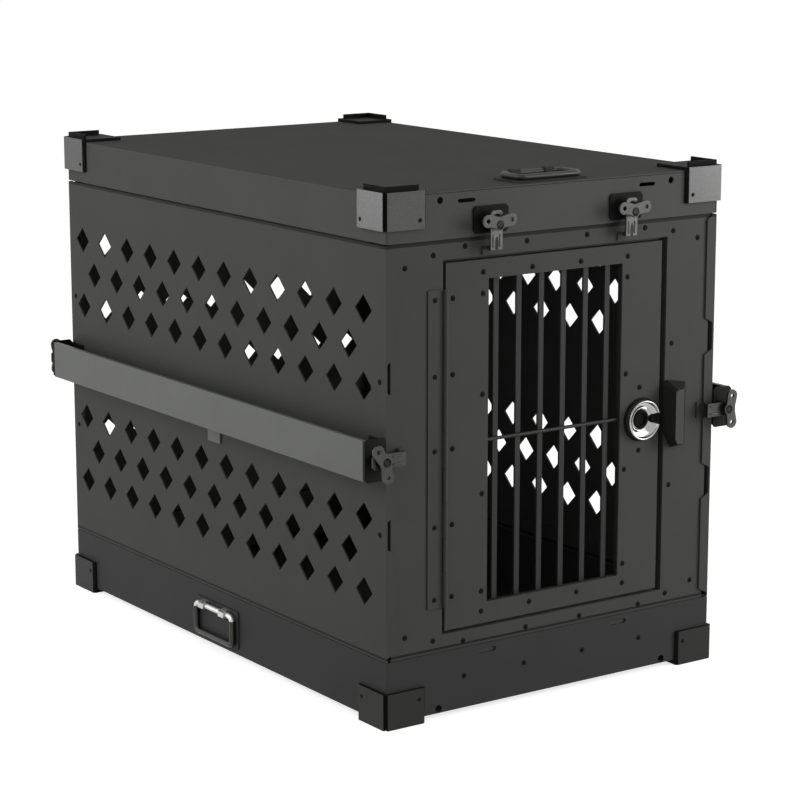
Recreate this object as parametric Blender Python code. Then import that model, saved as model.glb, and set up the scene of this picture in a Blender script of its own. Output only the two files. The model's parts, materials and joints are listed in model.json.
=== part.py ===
"""Folding dog crate of folded aluminium sheet, standing closed on its four corner caps.

Metres, Z up. The origin is on the ground under the middle of the crate. The door end faces -Y,
and +X is to the right of someone who looks at the door. Every sub-part is one named object, and
each moving sub-part has its origin on the axis of its joint.
"""

import math

import bmesh
import bpy
from mathutils import Matrix, Vector
from mathutils.geometry import tessellate_polygon

# Whole crate
BODY_WIDTH = 0.490
BODY_LENGTH = 0.7535
GROUND_CLEARANCE = 0.0065
BASE_HEIGHT = 0.0735
WALL_HEIGHT = 0.4844
LID_HEIGHT = 0.0556
SHEET = 0.002
GAP = 0.0003
SEAM = 0.0015

# Corner caps
CAP_LENGTH = 0.058
CAP_HEIGHT = 0.0435
CAP_PROUD = 0.005
CAP_GROOVE = 0.0038
CAP_LID_RISE = 0.004
CAP_BEVEL = 0.003
RIB_INSET = 0.006
RIB_THICKNESS = 0.003
RIB_HEIGHT = 0.006
RIB_LENGTH = 0.045

# Side walls
TAB_WIDTH = 0.014
TAB_NOTCH_CENTRES = (-0.0912, 0.0910)
TAB_NOTCH_HEIGHT = 0.033
TAB_TAPER = 0.0075
TAB_FOOT = 0.005
STRIP_WIDTH = 0.024
STRIP_RISE = 0.016
STRIP_END = 0.020

# Diamond vents
VENT_WIDTH = 0.0345
VENT_HEIGHT = 0.034
VENT_PITCH = 0.06115
VENT_ROW_PITCH = 0.0444
VENT_COLUMNS = 12
VENT_BAND_CENTRE = 0.1210
VENT_SHIFT = 0.0042
REAR_VENT_PITCH = 0.0557
REAR_VENT_ROW_PITCH = 0.0875
REAR_VENT_COLUMNS = 8
REAR_VENT_ROWS = 4
REAR_VENT_CENTRE = 0.344

# End walls and their hinges inside the tray
EDGE_CLEARANCE = 0.006
HEM_DEPTH = 0.012
WALL_TUCK = 0.0136
TUCK_INSET = 0.022
FRONT_PIVOT_HEIGHT = 0.046
REAR_PIVOT_HEIGHT = 0.017
END_PIN_RADIUS = 0.0017
END_KNUCKLE_WALL = 0.0015
END_KNUCKLE_COUNT = 7
END_HINGE_LENGTH = 0.440
LEAF_THICKNESS = 0.0012
LEAF_WIDTH = 0.024
PIN_CLEARANCE = 0.0003
KNUCKLE_SLACK = 0.0004

# Hinges at the foot of the side walls
SIDE_PIN_RADIUS = 0.0008
SIDE_KNUCKLE_WALL = 0.0009
SIDE_LEAF = 0.0010
SIDE_HINGE_LENGTH = 0.690
SIDE_KNUCKLE_COUNT = 7

# Base tray details
BASE_SLOT_SPACING = 0.1994
BASE_SLOT_LENGTH = 0.026
BASE_SLOT_HEIGHT = 0.006
BASE_SLOT_LEVEL = 0.0715
EDGE_NOTCH_SPACING = 0.341
EDGE_NOTCH_RADIUS = 0.005
EDGE_NOTCH_LEVEL = 0.0115

# Lid details
LID_HOLE_SPACING = 0.341
LID_HOLE_RADIUS = 0.0042
LID_HOLE_DROP = 0.010
LID_SLOT_SPACING = 0.2668
LID_SLOT_LENGTH = 0.025
LID_SLOT_HEIGHT = 0.0045
LID_SLOT_DROP = 0.0124
LEDGE_WIDTH = 0.012
LEDGE_LENGTH = 0.640

# Door and window
DOOR_WIDTH = 0.321
DOOR_ABOVE_BASE = 0.0245
DOOR_BELOW_TOP = 0.0269
DOOR_EDGE_GAP = 0.004
DOOR_LATCH_GAP = 0.0085
STILE_WIDTH = 0.061
SILL_HEIGHT = 0.0251
HEAD_HEIGHT = 0.0225
HINGE_INSET = 0.0295
DOOR_PIN_RADIUS = 0.0012
DOOR_KNUCKLE_WALL = 0.0013
DOOR_KNUCKLE_COUNT = 9
FRAME_LEAF_WIDTH = 0.0235
DOOR_LEAF_WIDTH = 0.0195
DOOR_PIVOT_OFFSET = 0.002

# Window grille
GRILLE_BORDER = 0.0155
GRILLE_DEPTH = 0.006
BAR_COUNT = 6
BAR_WIDTH = 0.0075
BAR_THICKNESS = 0.003
BAR_LAP = 0.009
ROD_RADIUS = 0.00225
ROD_ABOVE_LOCK = 0.003
WELD = 0.0005

# Door lock
LOCK_FROM_EDGE = 0.0281
PULL_RADIUS = 0.0106
PULL_LENGTH = 0.0125
PULL_PROUD = 0.004
PULL_RIM = 0.0028
PULL_RECESS_DEPTH = 0.006
PULL_CLEARANCE = 0.0004
BARREL_WALL = 0.0036
BEZEL_RADIUS = 0.025
BEZEL_HEIGHT = 0.009
HOUSING_HEIGHT = 0.094
HOUSING_MARGIN = 0.0015
HOUSING_BACK = 0.0016
BOLT_HEIGHT = 0.024
BOLT_THICKNESS = 0.008
BOLT_LENGTH = 0.020
BOLT_TRAVEL = 0.009
BOLT_CLEARANCE = 0.0004
BOLT_TIP_GAP = 0.0008

# Strike guard beside the lock
GUARD_BASE_HEIGHT = 0.048
GUARD_FACE_HEIGHT = 0.074
GUARD_BASE_WIDTH = 0.019
GUARD_FACE_WIDTH = 0.0125
GUARD_DEPTH = 0.0215
GUARD_BEVEL = 0.003

# Butterfly latches
LATCH_SPACING = 0.200
LATCH_RISE = 0.0146
LATCH_PLATE_WIDTH = 0.050
LATCH_PLATE_LOW = 0.0105
LATCH_PLATE_HIGH = 0.021
LATCH_PLATE_THICKNESS = 0.0017
HUB_RADIUS = 0.0085
HUB_TOP = 0.0095
SPINDLE_RADIUS = 0.004
SPINDLE_CLEARANCE = 0.0004
HOOK_THICKNESS = 0.003
HOOK_WIDTH = 0.017
HOOK_REACH = 0.0295
HOOK_TAIL = 0.016
HOOK_TRAVEL = 0.008
HOOK_CHAMFER = 0.003
NOSE_LENGTH = 0.003
KEEPER_LIP = 0.006
KEEPER_WIDTH = 0.020
KEEPER_LENGTH = 0.0098
KEEPER_THICKNESS = 0.002
WING_THICKNESS = 0.003
WING_LIFT = 0.0035
EAR_SPREAD = 0.0166
EAR_RISE = 0.005
EAR_RADIUS = 0.0078
EAR_HOLE = 0.0026
WAIST_RADIUS = 0.0070
FULL_TURN = 180
TURNED_LATCH = "front_left_corner_latch"
TURNED_BY = 23

# Side rails
RAIL_STANDOFF = 0.030
RAIL_HEIGHT = 0.0475
RAIL_SHEET = 0.002
RAIL_LIP = 0.006
RAIL_END_GAP = 0.0025
BRACKET_SHEET = 0.002
BRACKET_LEG = 0.032
BRACKET_INSET = 0.0006
MID_BRACKET_WIDTH = 0.030
MID_BRACKET_DROP = 0.050

# Drop handles
HANDLE_PLATE_LENGTH = 0.104
HANDLE_PLATE_HEIGHT = 0.050
HANDLE_SHEET = 0.0015
HANDLE_CORNER = 0.004
BAIL_LENGTH = 0.088
BAIL_HEIGHT = 0.037
BAIL_ROD_RADIUS = 0.0036
BAIL_CORNER = 0.007
SADDLE_LENGTH = 0.013
SADDLE_SPREAD = 0.025
SADDLE_WALL = 0.002
BASE_HANDLE_LEVEL = 0.0555
LID_HANDLE_FROM_FRONT = 0.054

# Places that follow from the sizes above
HALF_X = BODY_WIDTH / 2
HALF_Y = BODY_LENGTH / 2
BASE_TOP = GROUND_CLEARANCE + BASE_HEIGHT
WALL_TOP = BASE_TOP + WALL_HEIGHT
LID_TOP = WALL_TOP + LID_HEIGHT
MIDDLE = (BASE_TOP + WALL_TOP) / 2
END_FACE = HALF_Y - SHEET - GAP
END_INNER = END_FACE - SHEET
END_HALF = HALF_X - SHEET - EDGE_CLEARANCE
END_TOP = WALL_TOP + WALL_TUCK
END_KNUCKLE_RADIUS = END_PIN_RADIUS + PIN_CLEARANCE + END_KNUCKLE_WALL
END_PIVOT_Y = END_INNER - GAP - END_KNUCKLE_RADIUS
TUCK_HALF = END_HALF - TUCK_INSET
DOOR_HALF = DOOR_WIDTH / 2
DOOR_BOTTOM = BASE_TOP + DOOR_ABOVE_BASE
DOOR_TOP = WALL_TOP - DOOR_BELOW_TOP
DOOR_HINGE_BOTTOM = DOOR_BOTTOM + HINGE_INSET
DOOR_HINGE_TOP = DOOR_TOP - HINGE_INSET
WINDOW_HALF = DOOR_HALF - STILE_WIDTH
WINDOW_BOTTOM = DOOR_BOTTOM + SILL_HEIGHT
WINDOW_TOP = DOOR_TOP - HEAD_HEIGHT
LOCK_LEVEL = (DOOR_BOTTOM + DOOR_TOP) / 2
DOOR_KNUCKLE_RADIUS = DOOR_PIN_RADIUS + PIN_CLEARANCE + DOOR_KNUCKLE_WALL
DOOR_PIVOT_X = -DOOR_HALF - DOOR_PIVOT_OFFSET
DOOR_PIVOT_Y = END_FACE + GAP + DOOR_KNUCKLE_RADIUS
LOCK_X = DOOR_HALF - LOCK_FROM_EDGE
BARREL_RADIUS = PULL_RADIUS + PULL_CLEARANCE + BARREL_WALL
SIDE_KNUCKLE_RADIUS = SIDE_PIN_RADIUS + PIN_CLEARANCE + SIDE_KNUCKLE_WALL
SIDE_PIVOT_HEIGHT = BASE_TOP + SIDE_KNUCKLE_RADIUS / 2
LATCH_LEVEL = WALL_TOP + LATCH_RISE
CORNER_LATCH_X = HALF_X + LATCH_PLATE_LOW + 3 * GAP
HOOK_BASE = HUB_TOP + GAP
WING_BASE = HOOK_BASE + HOOK_THICKNESS + WING_LIFT
LATCH_TOP = WING_BASE + WING_THICKNESS
KEEPER_START = HOOK_REACH - NOSE_LENGTH - GAP

ROUND_STEPS = 16
FINE_STEPS = 28
KNUCKLE_STEPS = 10


class Shape:
    """Vertices and faces of one or more closed solids, before they become an object."""

    def __init__(self):
        self.verts = []
        self.faces = []

    def add(self, verts, faces):
        """Take in another solid's vertices and faces."""
        start = len(self.verts)
        self.verts.extend(Vector(v) for v in verts)
        self.faces.extend([tuple(start + i for i in face) for face in faces])
        return self

    def __add__(self, other):
        both = Shape()
        both.add(self.verts, self.faces)
        both.add(other.verts, other.faces)
        return both

    def moved(self, matrix):
        """The same solids carried to another place by a matrix."""
        copy = Shape()
        copy.add([matrix @ v for v in self.verts], self.faces)
        return copy


def spot(axis, u, v, level):
    """The 3-D point with the two outline coordinates u and v, at a level along the axis."""
    return {"X": (level, u, v), "Y": (u, level, v), "Z": (u, v, level)}[axis]


def prism(axis, outline, low, high, holes=()):
    """A flat outline with holes, extruded from low to high along an axis."""
    loops = [list(outline)] + [list(hole) for hole in holes]
    flat = [Vector((u, v, 0)) for loop in loops for u, v in loop]
    rings = [[Vector((u, v, 0)) for u, v in loop] for loop in loops]
    count = len(flat)
    verts = [spot(axis, p.x, p.y, low) for p in flat] + [spot(axis, p.x, p.y, high) for p in flat]
    faces = []
    for a, b, c in tessellate_polygon(rings):
        faces.append((a, b, c))
        faces.append((a + count, c + count, b + count))
    start = 0
    for loop in loops:
        size = len(loop)
        for i in range(size):
            a, b = start + i, start + (i + 1) % size
            faces.append((a, b, b + count, a + count))
        start += size
    return Shape().add(verts, faces)


def block(x0, x1, y0, y1, z0, z1):
    """A rectangular solid between two corners."""
    return prism("Z", rectangle(x0, x1, y0, y1), z0, z1)


def mirrored_block(hand, x0, x1, y0, y1, z0, z1):
    """A rectangular solid given for the right side, on the side that hand says."""
    a, b = sorted((hand * x0, hand * x1))
    return block(a, b, y0, y1, z0, z1)


def ring_prism(axis, u, v, radius, bore_radius, low, high):
    """A short tube along an axis, such as a hinge's knuckle."""
    return prism(axis, circle(u, v, radius), low, high, [circle(u, v, bore_radius)])


def rectangle(u0, u1, v0, v1):
    """The four corners of a rectangle."""
    return [(u0, v0), (u1, v0), (u1, v1), (u0, v1)]


def arc(cu, cv, radius, start, end, steps):
    """Points along an arc, angles in degrees, both ends included."""
    angles = [math.radians(start + (end - start) * i / steps) for i in range(steps + 1)]
    return [(cu + radius * math.cos(a), cv + radius * math.sin(a)) for a in angles]


def circle(cu, cv, radius, steps=KNUCKLE_STEPS):
    """Points round a circle."""
    return arc(cu, cv, radius, 0, 360, steps)[:-1]


def rounded(u0, u1, v0, v1, radius, steps=3):
    """A rectangle with round corners."""
    return (arc(u1 - radius, v1 - radius, radius, 0, 90, steps)
            + arc(u0 + radius, v1 - radius, radius, 90, 180, steps)
            + arc(u0 + radius, v0 + radius, radius, 180, 270, steps)
            + arc(u1 - radius, v0 + radius, radius, 270, 360, steps))


def slot(cu, cv, length, height):
    """A slot with round ends, lying along u."""
    radius = height / 2
    reach = length / 2 - radius
    return arc(cu + reach, cv, radius, -90, 90, 4) + arc(cu - reach, cv, radius, 90, 270, 4)


def diamond(cu, cv):
    """One vent: a diamond that stands on its corner."""
    return [(cu + VENT_WIDTH / 2, cv), (cu, cv + VENT_HEIGHT / 2), (cu - VENT_WIDTH / 2, cv),
            (cu, cv - VENT_HEIGHT / 2)]


def revolved(profile, steps):
    """A closed profile of (radius, level) points spun round the local Z axis."""
    size = len(profile)
    verts = []
    for i in range(steps):
        a = 2 * math.pi * i / steps
        verts.extend((r * math.cos(a), r * math.sin(a), z) for r, z in profile)
    faces = []
    for i in range(steps):
        for k in range(size):
            if profile[k][0] == 0 and profile[(k + 1) % size][0] == 0:
                continue
            a, b = i * size + k, i * size + (k + 1) % size
            c, d = (i + 1) % steps * size + (k + 1) % size, (i + 1) % steps * size + k
            faces.append((a, b, c, d))
    return Shape().add(verts, faces)


def loft(lower, upper, low, high):
    """A solid between two outlines of the same count, at two levels along the local Z axis."""
    size = len(lower)
    verts = [(u, v, low) for u, v in lower] + [(u, v, high) for u, v in upper]
    faces = [tuple(range(size)), tuple(range(2 * size - 1, size - 1, -1))]
    faces += [(i, (i + 1) % size, size + (i + 1) % size, size + i) for i in range(size)]
    return Shape().add(verts, faces)


def ring_rod(path, radius, sides):
    """A round rod along a closed flat path of (u, v) points, in the local XY plane."""
    count = len(path)
    verts = []
    for i, (u, v) in enumerate(path):
        before, after = path[i - 1], path[(i + 1) % count]
        along = Vector((after[0] - before[0], after[1] - before[1], 0)).normalized()
        across = Vector((along.y, -along.x, 0))
        for k in range(sides):
            a = 2 * math.pi * (k + 0.5) / sides
            spoke = across * (radius * math.cos(a)) + Vector((0, 0, radius * math.sin(a)))
            verts.append(Vector((u, v, 0)) + spoke)
    faces = []
    for i in range(count):
        for k in range(sides):
            here, there = i * sides, (i + 1) % count * sides
            faces.append((here + k, here + (k + 1) % sides, there + (k + 1) % sides, there + k))
    return Shape().add(verts, faces)


def frame(origin, x_axis, y_axis, z_axis):
    """The matrix that carries local axes to the given world directions at an origin."""
    matrix = Matrix((x_axis, y_axis, z_axis)).transposed().to_4x4()
    matrix.translation = Vector(origin)
    return matrix


def mirrored_y(shape):
    """The shape turned half round the vertical axis, from the door end to the rear end."""
    return shape.moved(Matrix.Rotation(math.pi, 4, "Z"))


def finish(name, colour, roughness, metallic=0.0):
    """A plain material in the part's colour."""
    material = bpy.data.materials.new(name)
    material.use_nodes = True
    shader = material.node_tree.nodes["Principled BSDF"]
    shader.inputs["Base Color"].default_value = (*colour, 1)
    shader.inputs["Roughness"].default_value = roughness
    shader.inputs["Metallic"].default_value = metallic
    material.diffuse_color = (*colour, 1)
    return material


def make(name, shape, material, origin=(0, 0, 0), parent=None):
    """Turn a shape into a named object with its origin where it turns or slides."""
    start = Vector(origin)
    mesh = bpy.data.meshes.new(name)
    mesh.from_pydata([v - start for v in shape.verts], [], shape.faces)
    solid = bmesh.new()
    solid.from_mesh(mesh)
    bmesh.ops.remove_doubles(solid, verts=solid.verts, dist=1e-6)
    bmesh.ops.recalc_face_normals(solid, faces=solid.faces)
    solid.to_mesh(mesh)
    solid.free()
    piece = bpy.data.objects.new(name, mesh)
    bpy.context.scene.collection.objects.link(piece)
    piece.location = start
    if material:
        mesh.materials.append(material)
    if parent:
        piece.parent = parent
        piece.matrix_parent_inverse = parent.matrix_world.inverted()
    return piece


def combine(piece, shape, operation):
    """Add a Boolean to a piece: UNION with more metal, or DIFFERENCE with a cutter."""
    guide = make(piece.name + "_" + operation.lower(), shape, None)
    guide.hide_render = True
    guide.display_type = "WIRE"
    modifier = piece.modifiers.new(operation.title(), "BOOLEAN")
    modifier.operation = operation
    modifier.object = guide
    modifier.solver = "EXACT"
    modifier.use_self = operation == "UNION"
    return piece


def pivot(name, place):
    """An empty on a joint axis, which carries what turns about it."""
    empty = bpy.data.objects.new(name, None)
    empty.empty_display_size = 0.02
    empty.location = place
    bpy.context.scene.collection.objects.link(empty)
    bpy.context.view_layer.update()
    return empty


def vent_rows():
    """Centres (along, up) of the diamonds on a side wall: two bands of three staggered rows."""
    centres = []
    first = -(VENT_COLUMNS - 1) / 2 * VENT_PITCH
    for band in (-1, 1):
        for row in (-1, 0, 1):
            level = MIDDLE + band * VENT_BAND_CENTRE + row * VENT_ROW_PITCH
            offset = row == 0
            for column in range(VENT_COLUMNS - offset):
                centres.append((first + (column + offset / 2) * VENT_PITCH, level))
    return centres


def rear_vents():
    """Centres (across, up) of the diamonds on the rear wall, in straight rows."""
    centres = []
    for row in range(REAR_VENT_ROWS):
        for column in range(REAR_VENT_COLUMNS):
            across = (column - (REAR_VENT_COLUMNS - 1) / 2) * REAR_VENT_PITCH
            level = REAR_VENT_CENTRE + (row - (REAR_VENT_ROWS - 1) / 2) * REAR_VENT_ROW_PITCH
            centres.append((across, level))
    return centres


def knuckle_spans(start, end, count, first):
    """Lengths along a hinge that belong to one leaf: every second knuckle."""
    step = (end - start) / count
    half = KNUCKLE_SLACK / 2
    return [(start + i * step + half, start + (i + 1) * step - half) for i in range(first, count, 2)]


def tray_hinge(level, at_rear):
    """The leaf, knuckles and pin that carry one end wall, welded to the inside of the tray."""
    half = END_HINGE_LENGTH / 2
    y = -END_PIVOT_Y
    bore_radius = END_PIN_RADIUS + PIN_CLEARANCE
    flange = -HALF_Y + SHEET
    low = max(level - LEAF_WIDTH / 2 - END_KNUCKLE_RADIUS, GROUND_CLEARANCE + SHEET / 2)
    hinge = block(-half, half, flange - WELD, flange + LEAF_THICKNESS, low, level - END_KNUCKLE_RADIUS / 2)
    hinge += prism("X", circle(y, level, END_PIN_RADIUS), WELD - half, half - WELD)
    for x0, x1 in knuckle_spans(-half, half, END_KNUCKLE_COUNT, 0):
        hinge += prism("X", circle(y, level, END_KNUCKLE_RADIUS), x0, x1)
        hinge += block(x0, x1, flange, y, level - END_KNUCKLE_RADIUS + GAP, level - bore_radius - GAP)
    return mirrored_y(hinge) if at_rear else hinge


def side_knuckles(hand, direction, first):
    """Leaf and knuckles of a side wall's hinge: direction is -1 for the tray with the pin, 1 for the wall."""
    half = SIDE_HINGE_LENGTH / 2
    inner = HALF_X - SHEET
    bore_radius = SIDE_PIN_RADIUS + PIN_CLEARANCE
    centre = inner - GAP - SIDE_KNUCKLE_RADIUS
    start = SIDE_PIVOT_HEIGHT + direction * (SIDE_KNUCKLE_RADIUS + GAP)
    z0, z1 = sorted((start, SIDE_PIVOT_HEIGHT + direction * LEAF_WIDTH))
    hinge = mirrored_block(hand, inner - SIDE_LEAF, inner + WELD, -half, half, z0, z1)
    z0, z1 = sorted((SIDE_PIVOT_HEIGHT, start + direction * WELD))
    if direction < 0:
        pin = circle(hand * centre, SIDE_PIVOT_HEIGHT, SIDE_PIN_RADIUS, 8)
        hinge += prism("Y", pin, WELD - half, half - WELD)
    for y0, y1 in knuckle_spans(-half, half, SIDE_KNUCKLE_COUNT, first):
        if direction < 0:
            knuckle = circle(hand * centre, SIDE_PIVOT_HEIGHT, SIDE_KNUCKLE_RADIUS)
            hinge += prism("Y", knuckle, y0, y1)
        else:
            hinge += ring_prism("Y", hand * centre, SIDE_PIVOT_HEIGHT, SIDE_KNUCKLE_RADIUS, bore_radius, y0, y1)
        hinge += mirrored_block(hand, centre + bore_radius + GAP / 3, inner - GAP, y0, y1, z0, z1)
    return hinge


def base_tray(finishes):
    """Floor and four flanges, with slots and edge notches, and the lower halves of the hinges."""
    outer = block(-HALF_X, HALF_X, -HALF_Y, HALF_Y, GROUND_CLEARANCE, BASE_TOP)
    tray = make("base_tray", outer, finishes["base"])
    floor = GROUND_CLEARANCE + SHEET
    inner_x, inner_y = HALF_X - SHEET, HALF_Y - SHEET
    combine(tray, block(-inner_x, inner_x, -inner_y, inner_y, floor, BASE_TOP + SHEET), "DIFFERENCE")
    cuts = Shape()
    for hand in (-1, 1):
        opening = slot(hand * BASE_SLOT_SPACING / 2, BASE_SLOT_LEVEL, BASE_SLOT_LENGTH, BASE_SLOT_HEIGHT)
        notch = circle(hand * EDGE_NOTCH_SPACING / 2, EDGE_NOTCH_LEVEL, EDGE_NOTCH_RADIUS)
        cuts += prism("Y", notch, -HALF_Y - SHEET, SHEET * 1.5 - HALF_Y)
        for end in (-1, 1):
            low, high = sorted((end * (HALF_Y - SHEET * 1.5), end * (HALF_Y + SHEET)))
            cuts += prism("Y", opening, low, high)
    combine(tray, cuts, "DIFFERENCE")
    hinges = tray_hinge(FRONT_PIVOT_HEIGHT, False) + tray_hinge(REAR_PIVOT_HEIGHT, True)
    for hand in (-1, 1):
        hinges += side_knuckles(hand, -1, 0)
    combine(tray, hinges, "UNION")


def cap_outline():
    """One cap seen from above, with its arris at +X -Y: an L with a groove down the arris."""
    x, y = HALF_X + CAP_PROUD, -HALF_Y - CAP_PROUD
    inner_x, inner_y = HALF_X + GAP, -HALF_Y - GAP
    bevel = CAP_BEVEL
    return [(x - CAP_GROOVE, y), (x - CAP_GROOVE, y + CAP_GROOVE), (x, y + CAP_GROOVE),
            (x, y + CAP_LENGTH - bevel), (x - bevel, y + CAP_LENGTH), (inner_x, y + CAP_LENGTH),
            (inner_x, inner_y), (x - CAP_LENGTH, inner_y), (x - CAP_LENGTH, y + bevel),
            (x - CAP_LENGTH + bevel, y)]


def cap_square():
    """The horizontal plate of one cap, seen from above, a little inside the cap's outline."""
    x, y = HALF_X + CAP_PROUD, -HALF_Y - CAP_PROUD
    edge, groove = CAP_BEVEL + WELD, CAP_GROOVE + GAP
    reach = CAP_LENGTH - WELD
    return [(x - reach, y + edge), (x - groove, y + edge), (x - groove, y + groove),
            (x - edge, y + groove), (x - edge, y + reach), (x - reach, y + reach)]


def corners():
    """Name ending and mirror matrix of the four corners, for a piece drawn at the front right."""
    places = []
    for end, along in (("front", 1), ("rear", -1)):
        for side, across in (("left", -1), ("right", 1)):
            places.append((end + "_" + side, Matrix.Diagonal((across, along, 1, 1))))
    return places


def corner_caps(finishes):
    """Caps on the four lower corners, which are the feet, and on the four upper corners."""
    top = LID_TOP + CAP_LID_RISE
    foot = prism("Z", cap_outline(), 0, CAP_HEIGHT)
    sole = prism("Z", cap_square(), 0, GROUND_CLEARANCE - GAP)
    crown = prism("Z", cap_outline(), top - CAP_HEIGHT, top)
    plate = prism("Z", cap_square(), LID_TOP + GAP, top)
    x, y = HALF_X + CAP_PROUD - RIB_INSET, -HALF_Y - CAP_PROUD + RIB_INSET
    rib = [(x, y), (x, y + RIB_LENGTH), (x - RIB_THICKNESS, y + RIB_LENGTH),
           (x - RIB_THICKNESS, y + RIB_THICKNESS), (x - RIB_LENGTH, y + RIB_THICKNESS), (x - RIB_LENGTH, y)]
    rib = prism("Z", rib, top - RIB_THICKNESS, top + RIB_HEIGHT)
    for name, matrix in corners():
        base = make("base_cap_" + name, foot.moved(matrix), finishes["cap"])
        combine(base, sole.moved(matrix), "UNION")
        upper = make("lid_cap_" + name, crown.moved(matrix), finishes["cap"])
        combine(upper, plate.moved(matrix), "UNION")
        combine(upper, rib.moved(matrix), "UNION")


def lid_shell(finishes):
    """Lid: a sheet with side flanges and ledges that rest on the side walls, and its end flanges."""
    bottom = WALL_TOP + SEAM / 2
    inner = HALF_X - SHEET
    section = [(-HALF_X, bottom), (-HALF_X, LID_TOP), (HALF_X, LID_TOP), (HALF_X, bottom),
               (inner, bottom), (inner, LID_TOP - SHEET), (-inner, LID_TOP - SHEET), (-inner, bottom)]
    lid = make("lid_shell", prism("Y", section, -HALF_Y, HALF_Y), finishes["lid"])
    ledges, holes = Shape(), []
    low = WALL_TOP + STRIP_RISE + GAP
    half = LEDGE_LENGTH / 2
    for hand in (-1, 1):
        ledges += mirrored_block(hand, inner - LEDGE_WIDTH, inner + WELD, -half, half, low, low + SHEET)
        holes.append(circle(hand * LID_HOLE_SPACING / 2, LID_TOP - LID_HOLE_DROP, LID_HOLE_RADIUS))
        holes.append(slot(hand * LID_SLOT_SPACING / 2, LID_TOP - LID_SLOT_DROP, LID_SLOT_LENGTH,
                          LID_SLOT_HEIGHT))
    combine(lid, ledges, "UNION")
    outline = rectangle(GAP - inner, inner - GAP, bottom, LID_TOP - SHEET - GAP)
    flange = prism("Y", outline, -HALF_Y, SHEET - HALF_Y, holes)
    make("lid_front_flange", flange, finishes["lid"])
    make("lid_rear_flange", mirrored_y(flange), finishes["lid"])


def tab_cuts(hand, bottom, top):
    """What is cut from the narrow tabs that a side wall folds round onto the ends."""
    u0 = hand * (HALF_X - TAB_WIDTH - SHEET)
    u1 = hand * (HALF_X - SHEET - GAP)
    reach = TAB_NOTCH_HEIGHT / 2
    outlines = [[(u0, bottom - SHEET), (u1, bottom - SHEET), (u1, bottom + TAB_FOOT),
                 (u0, bottom + TAB_FOOT + TAB_TAPER)],
                [(u0, top + SHEET), (u1, top + SHEET), (u0, top - TAB_TAPER)]]
    for centre in TAB_NOTCH_CENTRES:
        level = MIDDLE + centre
        outlines.append([(u0, level - reach - TAB_TAPER), (u1, level - reach), (u1, level + reach),
                         (u0, level + reach + TAB_TAPER)])
    cuts = Shape()
    for end in (-1, 1):
        y0, y1 = sorted((end * (HALF_Y - SHEET * 1.5), end * (HALF_Y + SHEET)))
        for outline in outlines:
            cuts += prism("Y", outline, y0, y1)
    return cuts


def side_walls(finishes):
    """Both side walls: one sheet folded round the corners, with vents and an upper strip."""
    bottom, top = BASE_TOP + SEAM / 2, WALL_TOP - SEAM / 2
    inner = HALF_X - SHEET
    tab = HALF_X - TAB_WIDTH
    for name, hand in (("left_wall", -1), ("right_wall", 1)):
        section = [(HALF_X, -HALF_Y), (HALF_X, HALF_Y), (tab, HALF_Y), (tab, HALF_Y - SHEET),
                   (inner, HALF_Y - SHEET), (inner, SHEET - HALF_Y), (tab, SHEET - HALF_Y), (tab, -HALF_Y)]
        wall = make(name, prism("Z", [(hand * x, y) for x, y in section], bottom, top), finishes["panel"])
        cuts = tab_cuts(hand, bottom, top)
        x0, x1 = sorted((hand * (inner - SHEET / 2), hand * (HALF_X + SHEET)))
        for along, level in vent_rows():
            cuts += prism("X", diamond(along - hand * VENT_SHIFT, level), x0, x1)
        combine(wall, cuts, "DIFFERENCE")
        strip = [(inner + WELD, top - STRIP_WIDTH), (inner + WELD, top - SHEET / 2),
                 (inner - GAP, top - SHEET / 2), (inner - GAP, WALL_TOP + STRIP_RISE),
                 (inner - GAP - SHEET, WALL_TOP + STRIP_RISE), (inner - GAP - SHEET, top - STRIP_WIDTH)]
        reach = END_INNER - HEM_DEPTH - STRIP_END
        more = prism("Y", [(hand * x, z) for x, z in strip], -reach, reach)
        combine(wall, more + side_knuckles(hand, 1, 1), "UNION")


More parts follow.
